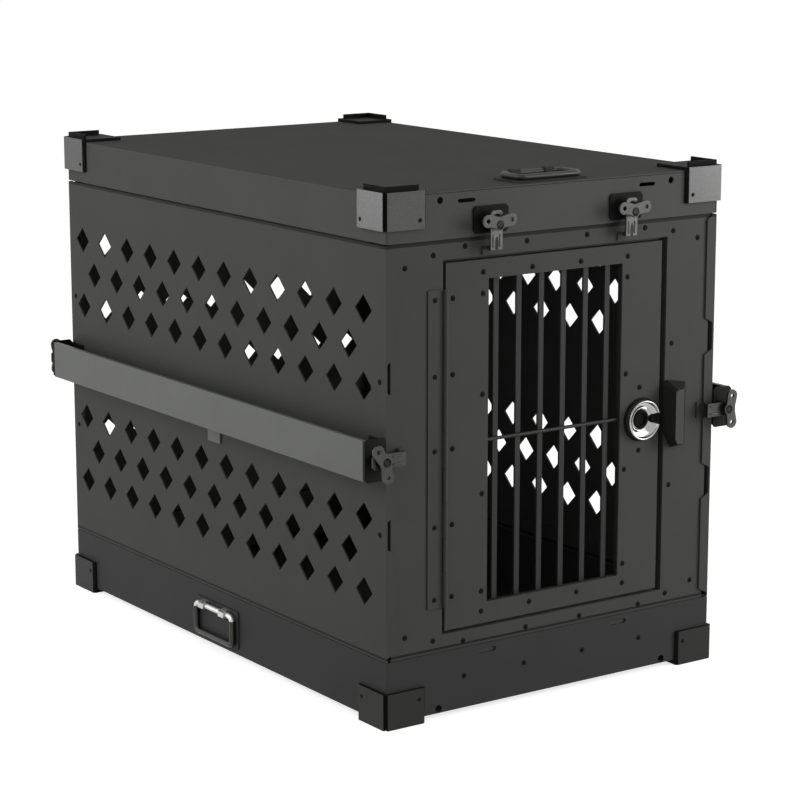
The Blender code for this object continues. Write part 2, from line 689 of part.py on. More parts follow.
def end_wall(name, level, holes, finishes, parent, at_rear):
    """One end wall: sheet, hems, latch keepers, the upper half of its hinge, and its top channel."""
    low = level + END_KNUCKLE_RADIUS / 2
    sheet = prism("Y", rectangle(-END_HALF, END_HALF, low, WALL_TOP), -END_FACE, -END_INNER, holes)
    y0, y1 = WELD - END_FACE, HEM_DEPTH - END_FACE
    more = Shape()
    for hand in (-1, 1):
        more += mirrored_block(hand, END_HALF - SHEET, END_HALF, y0, y1, low + LEAF_WIDTH, WALL_TOP)
    more += block(SHEET / 2 - END_HALF, END_HALF - SHEET / 2, y0, y1, WALL_TOP - SHEET, WALL_TOP)
    half = END_HINGE_LENGTH / 2
    bore_radius = END_PIN_RADIUS + PIN_CLEARANCE
    y = -END_PIVOT_Y
    leaf = LEAF_THICKNESS - END_INNER
    clear = level + END_KNUCKLE_RADIUS + GAP
    more += block(-half, half, -END_INNER - WELD, leaf, clear, level + LEAF_WIDTH)
    for x0, x1 in knuckle_spans(-half, half, END_KNUCKLE_COUNT, 1):
        more += ring_prism("X", y, level, END_KNUCKLE_RADIUS, bore_radius, x0, x1)
        more += block(x0, x1, -END_INNER - WELD, y - bore_radius - GAP / 2, level + WELD * 4, clear + WELD)
    if at_rear:
        sheet, more = mirrored_y(sheet), mirrored_y(more)
    for _, matrix, _ in latch_frames("rear" if at_rear else "front"):
        more += keeper().moved(matrix)
    wall = make(name, sheet, finishes["panel"], parent.location, parent)
    combine(wall, more, "UNION")
    foot = WALL_TOP + GAP
    section = [(-END_FACE, foot), (y1, foot), (y1, foot + SHEET), (-END_INNER, foot + SHEET),
               (-END_INNER, END_TOP - SHEET), (y1, END_TOP - SHEET), (y1, END_TOP), (-END_FACE, END_TOP)]
    channel = prism("X", section, -TUCK_HALF, TUCK_HALF)
    make(name + "_top_channel", mirrored_y(channel) if at_rear else channel, finishes["panel"],
         parent.location, parent)
    return wall


def front_end(finishes):
    """Front wall with the door opening and its hems."""
    axis = pivot("front_fold_axis", (0, -END_PIVOT_Y, FRONT_PIVOT_HEIGHT))
    left, right = -DOOR_HALF - DOOR_EDGE_GAP, DOOR_HALF + DOOR_LATCH_GAP
    low, high = DOOR_BOTTOM - DOOR_EDGE_GAP, DOOR_TOP + DOOR_EDGE_GAP
    opening = rectangle(left, right, low, high)
    wall = end_wall("front_wall", FRONT_PIVOT_HEIGHT, [opening], finishes, axis, False)
    border = rectangle(left - SHEET, right + SHEET, low - SHEET, high + SHEET)
    combine(wall, prism("Y", border, WELD - END_FACE, HEM_DEPTH - END_FACE, [opening]), "UNION")
    return axis


def rear_end(finishes):
    """Rear wall with its straight rows of vents."""
    axis = pivot("rear_fold_axis", (0, END_PIVOT_Y, REAR_PIVOT_HEIGHT))
    vents = [diamond(across, level) for across, level in rear_vents()]
    end_wall("rear_wall", REAR_PIVOT_HEIGHT, vents, finishes, axis, True)


def door(finishes, front_axis):
    """Door skin, its hinge, and the empty on the hinge axis that carries the door."""
    axis = pivot("door_swing_axis", (DOOR_PIVOT_X, -DOOR_PIVOT_Y, LOCK_LEVEL))
    axis.parent = front_axis
    axis.matrix_parent_inverse = front_axis.matrix_world.inverted()
    bpy.context.view_layer.update()
    window = rectangle(-WINDOW_HALF, WINDOW_HALF, WINDOW_BOTTOM, WINDOW_TOP)
    barrel = circle(LOCK_X, LOCK_LEVEL, BARREL_RADIUS + GAP, ROUND_STEPS)
    outline = rectangle(-DOOR_HALF, DOOR_HALF, DOOR_BOTTOM, DOOR_TOP)
    sheet = prism("Y", outline, -END_FACE, -END_INNER, [window, barrel])
    skin = make("door_skin", sheet, finishes["panel"], axis.matrix_world.translation, axis)
    y0, y1 = WELD - END_FACE, HEM_DEPTH - END_FACE
    hems = block(DOOR_HALF - SHEET, DOOR_HALF, y0, y1, DOOR_BOTTOM, DOOR_TOP)
    hems += block(-DOOR_HALF, DOOR_HALF - WELD, y0, y1, DOOR_BOTTOM, DOOR_BOTTOM + SHEET)
    hems += block(-DOOR_HALF, DOOR_HALF - WELD, y0, y1, DOOR_TOP - SHEET, DOOR_TOP)
    combine(skin, hems, "UNION")
    door_hinge(finishes, front_axis, axis)
    return axis


def door_hinge(finishes, front_axis, axis):
    """Piano hinge: a leaf on the face of the front wall, a leaf behind the door skin, a pin."""
    x, y = DOOR_PIVOT_X, -DOOR_PIVOT_Y
    bore_radius = DOOR_PIN_RADIUS + PIN_CLEARANCE
    face = -END_FACE - GAP
    fixed = block(x - FRAME_LEAF_WIDTH, x - DOOR_KNUCKLE_RADIUS - GAP, face - LEAF_THICKNESS, face,
                  DOOR_HINGE_BOTTOM, DOOR_HINGE_TOP)
    fixed_knuckles, moving_knuckles = Shape(), Shape()
    for z0, z1 in knuckle_spans(DOOR_HINGE_BOTTOM, DOOR_HINGE_TOP, DOOR_KNUCKLE_COUNT, 0):
        fixed_knuckles += ring_prism("Z", x, y, DOOR_KNUCKLE_RADIUS, bore_radius, z0, z1)
        fixed_knuckles += block(x - DOOR_KNUCKLE_RADIUS - SHEET, x, face - LEAF_THICKNESS + GAP / 2,
                                face - GAP / 4, z0, z1)
    half = LEAF_THICKNESS / 2
    back = GAP - END_INNER
    for z0, z1 in knuckle_spans(DOOR_HINGE_BOTTOM, DOOR_HINGE_TOP, DOOR_KNUCKLE_COUNT, 1):
        moving_knuckles += ring_prism("Z", x, y, DOOR_KNUCKLE_RADIUS, bore_radius, z0, z1)
        moving_knuckles += block(x - half, x + half, y + bore_radius + GAP, back + WELD, z0, z1)
    moving = block(x - half, x + DOOR_LEAF_WIDTH, back, back + LEAF_THICKNESS,
                   DOOR_HINGE_BOTTOM, DOOR_HINGE_TOP)
    leaf = make("door_hinge_frame_leaf", fixed, finishes["panel"], front_axis.location, front_axis)
    combine(leaf, fixed_knuckles, "UNION")
    swing = axis.matrix_world.translation
    leaf = make("door_hinge_door_leaf", moving, finishes["panel"], swing, axis)
    combine(leaf, moving_knuckles, "UNION")
    pin = prism("Z", circle(x, y, DOOR_PIN_RADIUS, 8), DOOR_HINGE_BOTTOM, DOOR_HINGE_TOP)
    make("door_hinge_pin", pin, finishes["steel"], front_axis.location, front_axis)


def grille(finishes, axis):
    """Welded window grille: a frame behind the skin, upright bars on its back, a thin cross rod."""
    swing = axis.matrix_world.translation
    half = WINDOW_HALF
    border = rectangle(-half - GRILLE_BORDER, half + GRILLE_BORDER, WINDOW_BOTTOM - GRILLE_BORDER,
                       WINDOW_TOP + GRILLE_BORDER)
    window = rectangle(-half, half, WINDOW_BOTTOM, WINDOW_TOP)
    front = GAP - END_INNER
    back = front + GRILLE_DEPTH
    ring = make("door_grille", prism("Y", border, front, back, [window]), finishes["grille"], swing, axis)
    pitch = 2 * half / BAR_COUNT
    bars = Shape()
    for i in range(BAR_COUNT):
        x = (i - (BAR_COUNT - 1) / 2) * pitch
        bars += block(x - BAR_WIDTH / 2, x + BAR_WIDTH / 2, back - WELD, back + BAR_THICKNESS - WELD,
                      WINDOW_BOTTOM - BAR_LAP, WINDOW_TOP + BAR_LAP)
    rod_y = back - ROD_RADIUS
    rod = circle(rod_y, LOCK_LEVEL + ROD_ABOVE_LOCK, ROD_RADIUS, 8)
    bars += prism("X", rod, -half - BAR_THICKNESS, half + BAR_THICKNESS)
    combine(ring, bars, "UNION")


def lock(finishes, front_axis, axis):
    """Slam lock: bezel, housing behind the skin, finger pull, bolt, and the guard on the wall."""
    swing = axis.matrix_world.translation
    outward = frame((LOCK_X, -END_FACE, LOCK_LEVEL), (1, 0, 0), (0, 0, 1), (0, -1, 0))
    bezel_bore = PULL_RADIUS + PULL_CLEARANCE + WELD
    crown = (BEZEL_RADIUS + bezel_bore) / 2 - SHEET
    foot = 0.2 * BEZEL_HEIGHT
    dome = [(bezel_bore, GAP), (BEZEL_RADIUS, GAP), (BEZEL_RADIUS, foot)]
    for across, rise in arc(0, 0, 1, 15, 90, 5):
        dome.append((crown + (BEZEL_RADIUS - crown) * across, foot + (BEZEL_HEIGHT - foot) * rise))
    dome.append((bezel_bore, BEZEL_HEIGHT - foot))
    make("lock_bezel", revolved(dome, FINE_STEPS).moved(outward), finishes["chrome"], swing, axis)

    skin_back = GAP - END_INNER
    hem_back = HEM_DEPTH - END_FACE
    bolt_front = hem_back + GAP
    bolt_back = bolt_front + BOLT_THICKNESS
    right = DOOR_HALF - SHEET - GAP
    left = LOCK_X - BARREL_RADIUS - HOUSING_MARGIN
    half = BOLT_HEIGHT / 2
    case = block(left, right, skin_back, bolt_back + BOLT_CLEARANCE + HOUSING_BACK,
                 LOCK_LEVEL - HOUSING_HEIGHT / 2, LOCK_LEVEL + HOUSING_HEIGHT / 2)
    housing = make("lock_housing", case, finishes["black"], swing, axis)
    barrel = circle(LOCK_X, LOCK_LEVEL, BARREL_RADIUS, ROUND_STEPS)
    combine(housing, prism("Y", barrel, -END_FACE, skin_back + SHEET), "UNION")
    depth = PULL_LENGTH - PULL_PROUD
    bore = circle(LOCK_X, LOCK_LEVEL, PULL_RADIUS + PULL_CLEARANCE, ROUND_STEPS)
    tip = DOOR_HALF + DOOR_LATCH_GAP - BOLT_TIP_GAP
    tail = tip - BOLT_LENGTH
    cuts = prism("Y", bore, -END_FACE - SHEET, depth + GAP - END_FACE)
    cuts += block(tail - BOLT_TRAVEL - BOLT_CLEARANCE, right + SHEET, bolt_front - BOLT_CLEARANCE,
                  bolt_back + BOLT_CLEARANCE, LOCK_LEVEL - half - BOLT_CLEARANCE,
                  LOCK_LEVEL + half + BOLT_CLEARANCE)
    combine(housing, cuts, "DIFFERENCE")
    bevel = tip - BOLT_THICKNESS + SHEET
    nose = [(tail, bolt_front), (tip, bolt_front), (tip, bolt_front + SHEET), (bevel, bolt_back),
            (tail, bolt_back)]
    bolt = prism("Z", nose, LOCK_LEVEL - half, LOCK_LEVEL + half)
    make("latch_bolt", bolt, finishes["steel"], (tip, bolt_front, LOCK_LEVEL), axis)
    recess = PULL_RADIUS - PULL_RIM
    well = PULL_PROUD - PULL_RECESS_DEPTH
    cup = [(0, -depth), (PULL_RADIUS, -depth), (PULL_RADIUS, PULL_PROUD), (recess, PULL_PROUD),
           (recess, well), (0, well)]
    pull = revolved(cup, ROUND_STEPS).moved(outward)
    make("finger_pull", pull, finishes["black"], (LOCK_X, -END_FACE, LOCK_LEVEL), axis)
    strike_guard(finishes, front_axis)


def strike_guard(finishes, front_axis):
    """Flared guard that stands on the front wall beside the bolt."""
    start = DOOR_HALF + DOOR_LATCH_GAP + 2 * GAP
    foot = rectangle(start, start + GUARD_BASE_WIDTH, -GUARD_BASE_HEIGHT / 2, GUARD_BASE_HEIGHT / 2)
    face = rectangle(start, start + GUARD_FACE_WIDTH, -GUARD_FACE_HEIGHT / 2, GUARD_FACE_HEIGHT / 2)
    level = frame((0, -END_FACE, LOCK_LEVEL), (1, 0, 0), (0, 0, 1), (0, -1, 0))
    guard = make("strike_guard", loft(foot, face, GAP, GUARD_DEPTH).moved(level), finishes["black"],
                 front_axis.location, front_axis)
    bevel = guard.modifiers.new("Bevel", "BEVEL")
    bevel.width = GUARD_BEVEL
    bevel.segments = 2
    bevel.limit_method = "ANGLE"
    bevel.angle_limit = math.radians(50)


def latch_frames(chosen):
    """Name, matrix and kind of one end's latches: local Y pulls away from the keeper, Z is out."""
    places = []
    end = -1 if chosen == "front" else 1
    out = Vector((0, end, 0))
    up = Vector((0, 0, 1))
    for hand, side in ((-1, "left"), (1, "right")):
        place = (hand * LATCH_SPACING / 2, end * HALF_Y, LATCH_LEVEL)
        places.append((chosen + "_" + side + "_lid_latch", frame(place, up.cross(out), up, out), "lid"))
        away = Vector((hand, 0, 0))
        place = (hand * CORNER_LATCH_X, end * HALF_Y, MIDDLE)
        matrix = frame(place, away.cross(out), away, out)
        places.append((chosen + "_" + side + "_corner_latch", matrix, "corner"))
    return places


def keeper():
    """Bent strip welded to an end wall, which a latch's hook draws against."""
    half = KEEPER_WIDTH / 2
    face = END_FACE - HALF_Y
    low, high = face - WELD, face + KEEPER_THICKNESS
    start, inner, end = -KEEPER_START, -KEEPER_START - KEEPER_THICKNESS, -KEEPER_START - KEEPER_LENGTH
    bend = [(start, low), (start, KEEPER_LIP), (inner, KEEPER_LIP), (inner, high), (end, high), (end, low)]
    return prism("X", bend, -half, half)


def wing_outline():
    """Butterfly wing: two round ears, a shallow dip between them, and a round waist."""
    return (arc(EAR_SPREAD, EAR_RISE, EAR_RADIUS, -110, 110, 7) + [(0, EAR_RISE + EAR_RADIUS / 2)]
            + arc(-EAR_SPREAD, EAR_RISE, EAR_RADIUS, 70, 290, 7) + arc(0, 0, WAIST_RADIUS, 215, 325, 4))


def latch_base(low, high, reach):
    """Chamfered plate and raised hub that carry one latch: the plate, then the hub."""
    half = LATCH_PLATE_WIDTH / 2
    cut = 2 * LATCH_PLATE_THICKNESS
    outline = [(half - cut, -LATCH_PLATE_LOW), (half, cut - LATCH_PLATE_LOW), (half, reach - cut),
               (half - cut, reach), (cut - half, reach), (-half, reach - cut),
               (-half, cut - LATCH_PLATE_LOW), (cut - half, -LATCH_PLATE_LOW)]
    bore = circle(0, 0, SPINDLE_RADIUS + SPINDLE_CLEARANCE)
    plate = prism("Z", outline, low, high, [bore])
    hub = prism("Z", circle(0, 0, HUB_RADIUS, 16), (low + high) / 2, HUB_TOP, [bore])
    return plate, hub


def latches(finishes):
    """Wings and hooks of the eight butterfly latches, and the four plates on the lid."""
    plate, hub = latch_base(GAP, GAP + LATCH_PLATE_THICKNESS, LATCH_PLATE_HIGH)
    ears = [circle(hand * EAR_SPREAD, EAR_RISE, EAR_HOLE, 8) for hand in (-1, 1)]
    blade = prism("Z", wing_outline(), WING_BASE, LATCH_TOP, ears)
    spindle = prism("Z", circle(0, 0, SPINDLE_RADIUS), 2 * GAP, LATCH_TOP - WING_THICKNESS / 2)
    bore = SPINDLE_RADIUS + SPINDLE_CLEARANCE
    opening = [(v, u) for u, v in slot(HOOK_TRAVEL / 2, 0, 2 * bore + HOOK_TRAVEL, 2 * bore)]
    side, nose_end = HOOK_WIDTH / 2, NOSE_LENGTH - HOOK_REACH
    narrow, short = side - HOOK_CHAMFER, HOOK_TAIL - HOOK_CHAMFER
    strap = [(-side, -HOOK_REACH), (side, -HOOK_REACH), (side, short), (narrow, HOOK_TAIL),
             (-narrow, HOOK_TAIL), (-side, short)]
    strap = prism("Z", strap, HOOK_BASE, HOOK_BASE + HOOK_THICKNESS, [opening])
    nose = block(-side, side, -HOOK_REACH, nose_end, KEEPER_LIP + GAP, HOOK_BASE + HOOK_THICKNESS / 2)
    for name, matrix, kind in latch_frames("front") + latch_frames("rear"):
        place = matrix.translation
        if kind == "lid":
            base = make(name + "_plate", plate.moved(matrix), finishes["latch"], place)
            combine(base, hub.moved(matrix), "UNION")
        turn = TURNED_BY if name == TURNED_LATCH else 0
        turned = matrix @ Matrix.Rotation(math.radians(turn), 4, "Z")
        wing = make(name + "_wing", blade.moved(turned), finishes["latch"], place)
        combine(wing, spindle.moved(turned), "UNION")
        pushed = matrix @ Matrix.Translation((0, -HOOK_TRAVEL * turn / FULL_TURN, 0))
        hook = make(name + "_hook", strap.moved(pushed), finishes["latch"], place)
        combine(hook, nose.moved(pushed), "UNION")


def rails(finishes):
    """Full length side rails, each with a middle bracket welded to its back."""
    low, high = MIDDLE - RAIL_HEIGHT / 2, MIDDLE + RAIL_HEIGHT / 2
    face = HALF_X + RAIL_STANDOFF
    lip, back = face - RAIL_LIP, face - RAIL_SHEET
    end = HALF_Y - BRACKET_SHEET - GAP
    wall = HALF_X + GAP
    half = MID_BRACKET_WIDTH / 2
    for name, hand in (("left_rail", -1), ("right_rail", 1)):
        section = [(face, low), (face, high), (lip, high), (lip, high - RAIL_SHEET), (back, high - RAIL_SHEET),
                   (back, low + RAIL_SHEET), (lip, low + RAIL_SHEET), (lip, low)]
        rail = make(name, prism("Y", [(hand * x, z) for x, z in section], -end, end), finishes["rail"])
        foot = MIDDLE - MID_BRACKET_DROP
        bracket = [(wall, foot), (wall + BRACKET_SHEET, foot), (wall + BRACKET_SHEET, MIDDLE - BRACKET_SHEET),
                   (back + WELD, MIDDLE - BRACKET_SHEET), (back + WELD, MIDDLE), (wall, MIDDLE)]
        combine(rail, prism("Y", [(hand * x, z) for x, z in bracket], -half, half), "UNION")


def rail_brackets(finishes):
    """Bracket at each end of a rail: a channel from the wall to the rail, with the latch base on it."""
    face = HALF_X + RAIL_STANDOFF
    wall, back = HALF_X + GAP, face - RAIL_SHEET - GAP
    reach = RAIL_HEIGHT / 2 - RAIL_SHEET - BRACKET_INSET
    low, high = MIDDLE - reach, MIDDLE + reach
    end, web, leg = -HALF_Y, BRACKET_SHEET - HALF_Y, BRACKET_LEG - HALF_Y
    outline = [(wall, end), (face, end), (face, web), (back, web), (back, leg), (back - BRACKET_SHEET, leg),
               (back - BRACKET_SHEET, web + GAP), (wall + BRACKET_SHEET, web + GAP),
               (wall + BRACKET_SHEET, leg), (wall, leg)]
    base_reach = HALF_X + RAIL_STANDOFF - CORNER_LATCH_X
    plate, hub = latch_base(-WELD, LATCH_PLATE_THICKNESS, base_reach)
    bore = prism("Z", circle(0, 0, SPINDLE_RADIUS + SPINDLE_CLEARANCE), -2 * BRACKET_SHEET, HUB_TOP)
    for place, matrix in corners():
        bracket = make("rail_bracket_" + place, prism("Z", outline, low, high).moved(matrix), finishes["black"])
        chosen, side = place.split("_")
        for name, local, kind in latch_frames(chosen):
            if kind == "corner" and side in name:
                combine(bracket, plate.moved(local), "UNION")
                combine(bracket, hub.moved(local), "UNION")
                combine(bracket, bore.moved(local), "DIFFERENCE")


def drop_handle():
    """Plate and bail of a drop handle: X along it, Y from the grip up to the pivot, Z out."""
    half = HANDLE_PLATE_LENGTH / 2
    top = BAIL_ROD_RADIUS + SADDLE_WALL + SHEET
    plate = prism("Z", rounded(-half, half, top - HANDLE_PLATE_HEIGHT, top, HANDLE_CORNER, 2), GAP,
                  GAP + HANDLE_SHEET)
    lift = GAP + HANDLE_SHEET + GAP + BAIL_ROD_RADIUS
    reach = BAIL_ROD_RADIUS + SADDLE_WALL
    saddles = Shape()
    hole = circle(0, lift, BAIL_ROD_RADIUS + GAP)
    for hand in (-1, 1):
        x0 = hand * SADDLE_SPREAD - SADDLE_LENGTH / 2
        strap = [(-reach, HANDLE_SHEET / 2), (reach, HANDLE_SHEET / 2), (reach, lift),
                 (reach * 0.6, lift + reach), (-reach * 0.6, lift + reach), (-reach, lift)]
        saddles += prism("X", strap, x0, x0 + SADDLE_LENGTH, [hole])
    path = rounded(-BAIL_LENGTH / 2, BAIL_LENGTH / 2, -BAIL_HEIGHT, 0, BAIL_CORNER, 3)
    bail = ring_rod(path, BAIL_ROD_RADIUS, 8).moved(Matrix.Translation((0, 0, lift)))
    return plate, saddles, bail, lift


def handles(finishes):
    """Drop handles on both sides of the tray and on the lid."""
    plate, saddles, bail, lift = drop_handle()
    left = frame((-HALF_X, 0, BASE_HANDLE_LEVEL), (0, -1, 0), (0, 0, 1), (-1, 0, 0))
    right = frame((HALF_X, 0, BASE_HANDLE_LEVEL), (0, 1, 0), (0, 0, 1), (1, 0, 0))
    above = frame((0, LID_HANDLE_FROM_FRONT - HALF_Y, LID_TOP), (1, 0, 0), (0, 1, 0), (0, 0, 1))
    for name, matrix in (("left", left), ("right", right), ("lid", above)):
        base = make(name + "_handle_plate", plate.moved(matrix), finishes["black"])
        combine(base, saddles.moved(matrix), "UNION")
        make(name + "_bail", bail.moved(matrix), finishes["bail"], matrix @ Vector((0, 0, lift)))


def main():
    """Clear the scene and build every sub-part."""
    for old in list(bpy.data.objects):
        bpy.data.objects.remove(old)
    finishes = {
        "panel": finish("panel_powder_coat", (0.065, 0.065, 0.066), 0.55),
        "lid": finish("lid_powder_coat", (0.058, 0.058, 0.058), 0.55),
        "base": finish("base_powder_coat", (0.045, 0.045, 0.046), 0.55),
        "cap": finish("cap_powder_coat", (0.150, 0.150, 0.148), 0.45),
        "rail": finish("rail_powder_coat", (0.135, 0.140, 0.132), 0.45),
        "black": finish("black_plastic", (0.012, 0.012, 0.012), 0.40),
        "latch": finish("black_steel", (0.020, 0.020, 0.020), 0.35, 0.6),
        "bail": finish("bail_steel", (0.300, 0.300, 0.300), 0.30, 0.9),
        "steel": finish("zinc_steel", (0.250, 0.250, 0.250), 0.40, 0.9),
        "grille": finish("grille_black", (0.015, 0.015, 0.015), 0.50),
        "chrome": finish("chrome", (0.800, 0.800, 0.800), 0.08, 1.0),
    }
    base_tray(finishes)
    corner_caps(finishes)
    lid_shell(finishes)
    side_walls(finishes)
    front_axis = front_end(finishes)
    rear_end(finishes)
    axis = door(finishes, front_axis)
    grille(finishes, axis)
    lock(finishes, front_axis, axis)
    latches(finishes)
    rails(finishes)
    rail_brackets(finishes)
    handles(finishes)


main()
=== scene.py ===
"""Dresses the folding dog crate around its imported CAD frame.

Every length is in metres in the frame of the CAD: the ground is Z 0, the door end faces -Y, and the
camera looks from the door's left. Each class below is one sub-assembly, with its sizes as fields.
"""

from __future__ import annotations

import json
import logging
import math
from collections.abc import Callable
from dataclasses import dataclass, field
from enum import Enum

import bmesh
import bpy
import numpy as np
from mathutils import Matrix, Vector

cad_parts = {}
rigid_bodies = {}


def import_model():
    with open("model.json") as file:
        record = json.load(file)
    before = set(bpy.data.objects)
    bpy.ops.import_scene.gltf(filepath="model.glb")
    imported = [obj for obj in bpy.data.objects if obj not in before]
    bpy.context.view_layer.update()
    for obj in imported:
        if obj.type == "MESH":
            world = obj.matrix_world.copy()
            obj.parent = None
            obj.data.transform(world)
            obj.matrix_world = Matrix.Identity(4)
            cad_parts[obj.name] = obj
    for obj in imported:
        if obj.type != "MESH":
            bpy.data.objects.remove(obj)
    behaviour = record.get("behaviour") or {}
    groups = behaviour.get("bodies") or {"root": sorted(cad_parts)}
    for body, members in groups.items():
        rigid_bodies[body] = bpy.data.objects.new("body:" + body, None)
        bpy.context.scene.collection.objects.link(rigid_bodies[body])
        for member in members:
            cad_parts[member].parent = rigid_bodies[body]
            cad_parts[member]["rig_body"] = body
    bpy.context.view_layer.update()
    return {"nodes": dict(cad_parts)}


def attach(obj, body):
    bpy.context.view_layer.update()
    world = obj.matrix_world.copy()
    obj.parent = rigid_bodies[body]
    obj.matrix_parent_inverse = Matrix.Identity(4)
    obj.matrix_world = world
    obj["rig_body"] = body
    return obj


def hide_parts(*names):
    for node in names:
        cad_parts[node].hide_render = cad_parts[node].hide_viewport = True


LOG = logging.getLogger("crate")
FULL_CIRCLE = 2 * math.pi
WELD_DISTANCE = 2e-6
FLAT_ANGLE = math.radians(0.6)
BEVEL_ANGLE = math.radians(32)
NO_SHARP_EDGE = 180.0
FACING = 0.9
NOISE_ROUGHNESS = 0.6
NOISE_MIDDLE = (0.3, 0.7)
MIX_COLOURS = (6, 7)
MIX_RESULT = 2
HINGE_LEVELS = (0.1445, 0.231, 0.321, 0.408, 0.4965)

Point = tuple[float, float, float]
Colour = tuple[float, float, float]
Pairs = tuple[tuple[float, float], ...]
Socket = bpy.types.NodeSocket
Value = float | Socket
Tint = Colour | Socket
Rule = Callable[[np.ndarray, np.ndarray], np.ndarray]


class Slot(Enum):
    """The record's material slots, which are passed along with new pieces but not set on them."""

    PANEL = "panel_coat"
    LID = "lid_coat"
    BASE = "base_coat"
    CAP = "cap_coat"
    RAIL = "rail_coat"
    BRACKET = "bracket_coat"
    GRILLE = "grille_coat"
    LATCH = "latch_steel"
    BAIL = "bail_steel"
    PLASTIC = "black_plastic"
    CHROME = "chrome"


class End(Enum):
    """The two ends of the crate, as the sign of their Y."""

    FRONT = -1
    REAR = 1


class Side(Enum):
    """The two long sides, as the sign of their X."""

    LEFT = -1
    RIGHT = 1


class Kind(Enum):
    """The two kinds of latch, by what they hold."""

    LID = "lid"
    CORNER = "corner"


class Axis(Enum):
    """The axes that a riveted face can be square to, by their index."""

    X = 0
    Y = 1


def linear(code: str) -> Colour:
    """Linear colour of a hex code: ((s + 0.055) / 1.055) to the power 2.4, or s / 12.92 near black.

    Args:
        code: Six hex digits, as an artist writes the colour.

    Returns:
        The red, green and blue that a shader takes.
    """
    shown = np.array([int(code[i : i + 2], 16) for i in (0, 2, 4)]) / 255
    light = np.where(shown <= 0.04045, shown / 12.92, ((shown + 0.055) / 1.055) ** 2.4)
    return tuple(float(v) for v in light)


def shade(colour: Colour, factor: float) -> Colour:
    """The same colour, lighter or darker by a factor."""
    return tuple(min(1.0, v * factor) for v in colour)


# ---- materials


@dataclass
class Shader:
    """Nodes of one material, added and joined by short calls."""

    name: str
    material: bpy.types.Material = field(init=False)
    tree: bpy.types.NodeTree = field(init=False)
    output: bpy.types.Node = field(init=False)
    place: Socket = field(init=False)

    def __post_init__(self) -> None:
        """Start an empty node tree with its output and object coordinates."""
        self.material = bpy.data.materials.new(self.name)
        self.material.use_nodes = True
        self.tree = self.material.node_tree
        self.tree.nodes.clear()
        self.output = self.add("ShaderNodeOutputMaterial")
        self.place = self.add("ShaderNodeTexCoord").outputs["Object"]

    def add(
        self, kind: str, values: dict[str | int, object] | None = None, **settings: object
    ) -> bpy.types.Node:
        """Add a node.

        Args:
            kind: Blender's type name of the node.
            values: Numbers, colours or sockets for the inputs, by name or index.
            settings: Properties of the node itself.

        Returns:
            The new node.
        """
        node = self.tree.nodes.new(kind)
        for key, value in settings.items():
            setattr(node, key, value)
        for key, value in (values or {}).items():
            if isinstance(value, Socket):
                self.tree.links.new(value, node.inputs[key])
            else:
                node.inputs[key].default_value = value
        return node

    def axes(self) -> bpy.types.NodeOutputs:
        """The x, y and z of a place on the piece."""
        return self.add("ShaderNodeSeparateXYZ", {0: self.place}).outputs

    def noise(self, scale: float, detail: float, stretch: Point = (1, 1, 1)) -> Socket:
        """Fractal noise of a grain size on the piece, stretched along some axes.

        Args:
            scale: Waves in a metre.
            detail: Octaves added to the first.
            stretch: How much closer the waves stand along each axis.

        Returns:
            The noise, from 0 to 1.
        """
        spot = self.place
        if stretch != (1, 1, 1):
            spot = self.add("ShaderNodeMapping", {"Vector": spot, "Scale": stretch}).outputs[0]
        values = {"Vector": spot, "Scale": scale, "Detail": detail, "Roughness": NOISE_ROUGHNESS}
        return self.add("ShaderNodeTexNoise", values).outputs["Fac"]

    def spread(self, value: Socket, low: float, high: float) -> Socket:
        """Map the middle of a noise to a range.

        Args:
            value: The noise.
            low: What the low end of its middle becomes.
            high: What the high end becomes.

        Returns:
            The mapped value.
        """
        start, end = NOISE_MIDDLE
        ends = {"From Min": start, "From Max": end, "To Min": low, "To Max": high}
        return self.add("ShaderNodeMapRange", {"Value": value, **ends}).outputs[0]

    def maths(self, operation: str, *values: Value) -> Socket:
        """One arithmetic step on sockets or numbers."""
        return self.add("ShaderNodeMath", dict(enumerate(values)), operation=operation).outputs[0]

    def mix(self, factor: Value, first: Tint, second: Tint) -> Socket:
        """Blend two colours.

        Args:
            factor: How much of the second there is.
            first: A socket, or three linear numbers.
            second: The same.

        Returns:
            The blend.
        """
        made = self.add("ShaderNodeMix", {0: factor}, data_type="RGBA")
        for index, colour in zip(MIX_COLOURS, (first, second)):
            if isinstance(colour, Socket):
                self.tree.links.new(colour, made.inputs[index])
            else:
                made.inputs[index].default_value = (*colour, 1)
        return made.outputs[MIX_RESULT]

    def bump(self, height: Socket, depth: float, under: Socket | None = None) -> Socket:
        """A bumped normal.

        Args:
            height: Height of the relief, from 0 to 1.
            depth: What a height of 1 is, in metres.
            under: Another bump to lay this one on.

        Returns:
            The normal.
        """
        values = {"Height": height, "Distance": depth, "Strength": 1.0}
        if under is not None:
            values["Normal"] = under
        return self.add("ShaderNodeBump", values).outputs[0]

    def surface(self, values: dict[str, object]) -> bpy.types.Material:
        """Close the material with a Principled shader.

        Args:
            values: Numbers, colours or sockets for its inputs, by name.

        Returns:
            The material.
        """
        shader = self.add("ShaderNodeBsdfPrincipled", values)
        self.tree.links.new(shader.outputs[0], self.output.inputs[0])
        return self.material


@dataclass(frozen=True)
class Finish:
    """A finish: the name of its material and its main colour."""

    name: str
    colour: str

    def values(self, shader: Shader) -> dict[str, object]:
        """Values of the Principled shader for this finish.

        Args:
            shader: The material that takes the finish's nodes.

        Returns:
            Input names of the Principled shader, with sockets or numbers.
        """
        raise NotImplementedError(self.name)

    def build(self) -> bpy.types.Material:
        """Make the material."""
        shader = Shader(self.name)
        return shader.surface(self.values(shader))


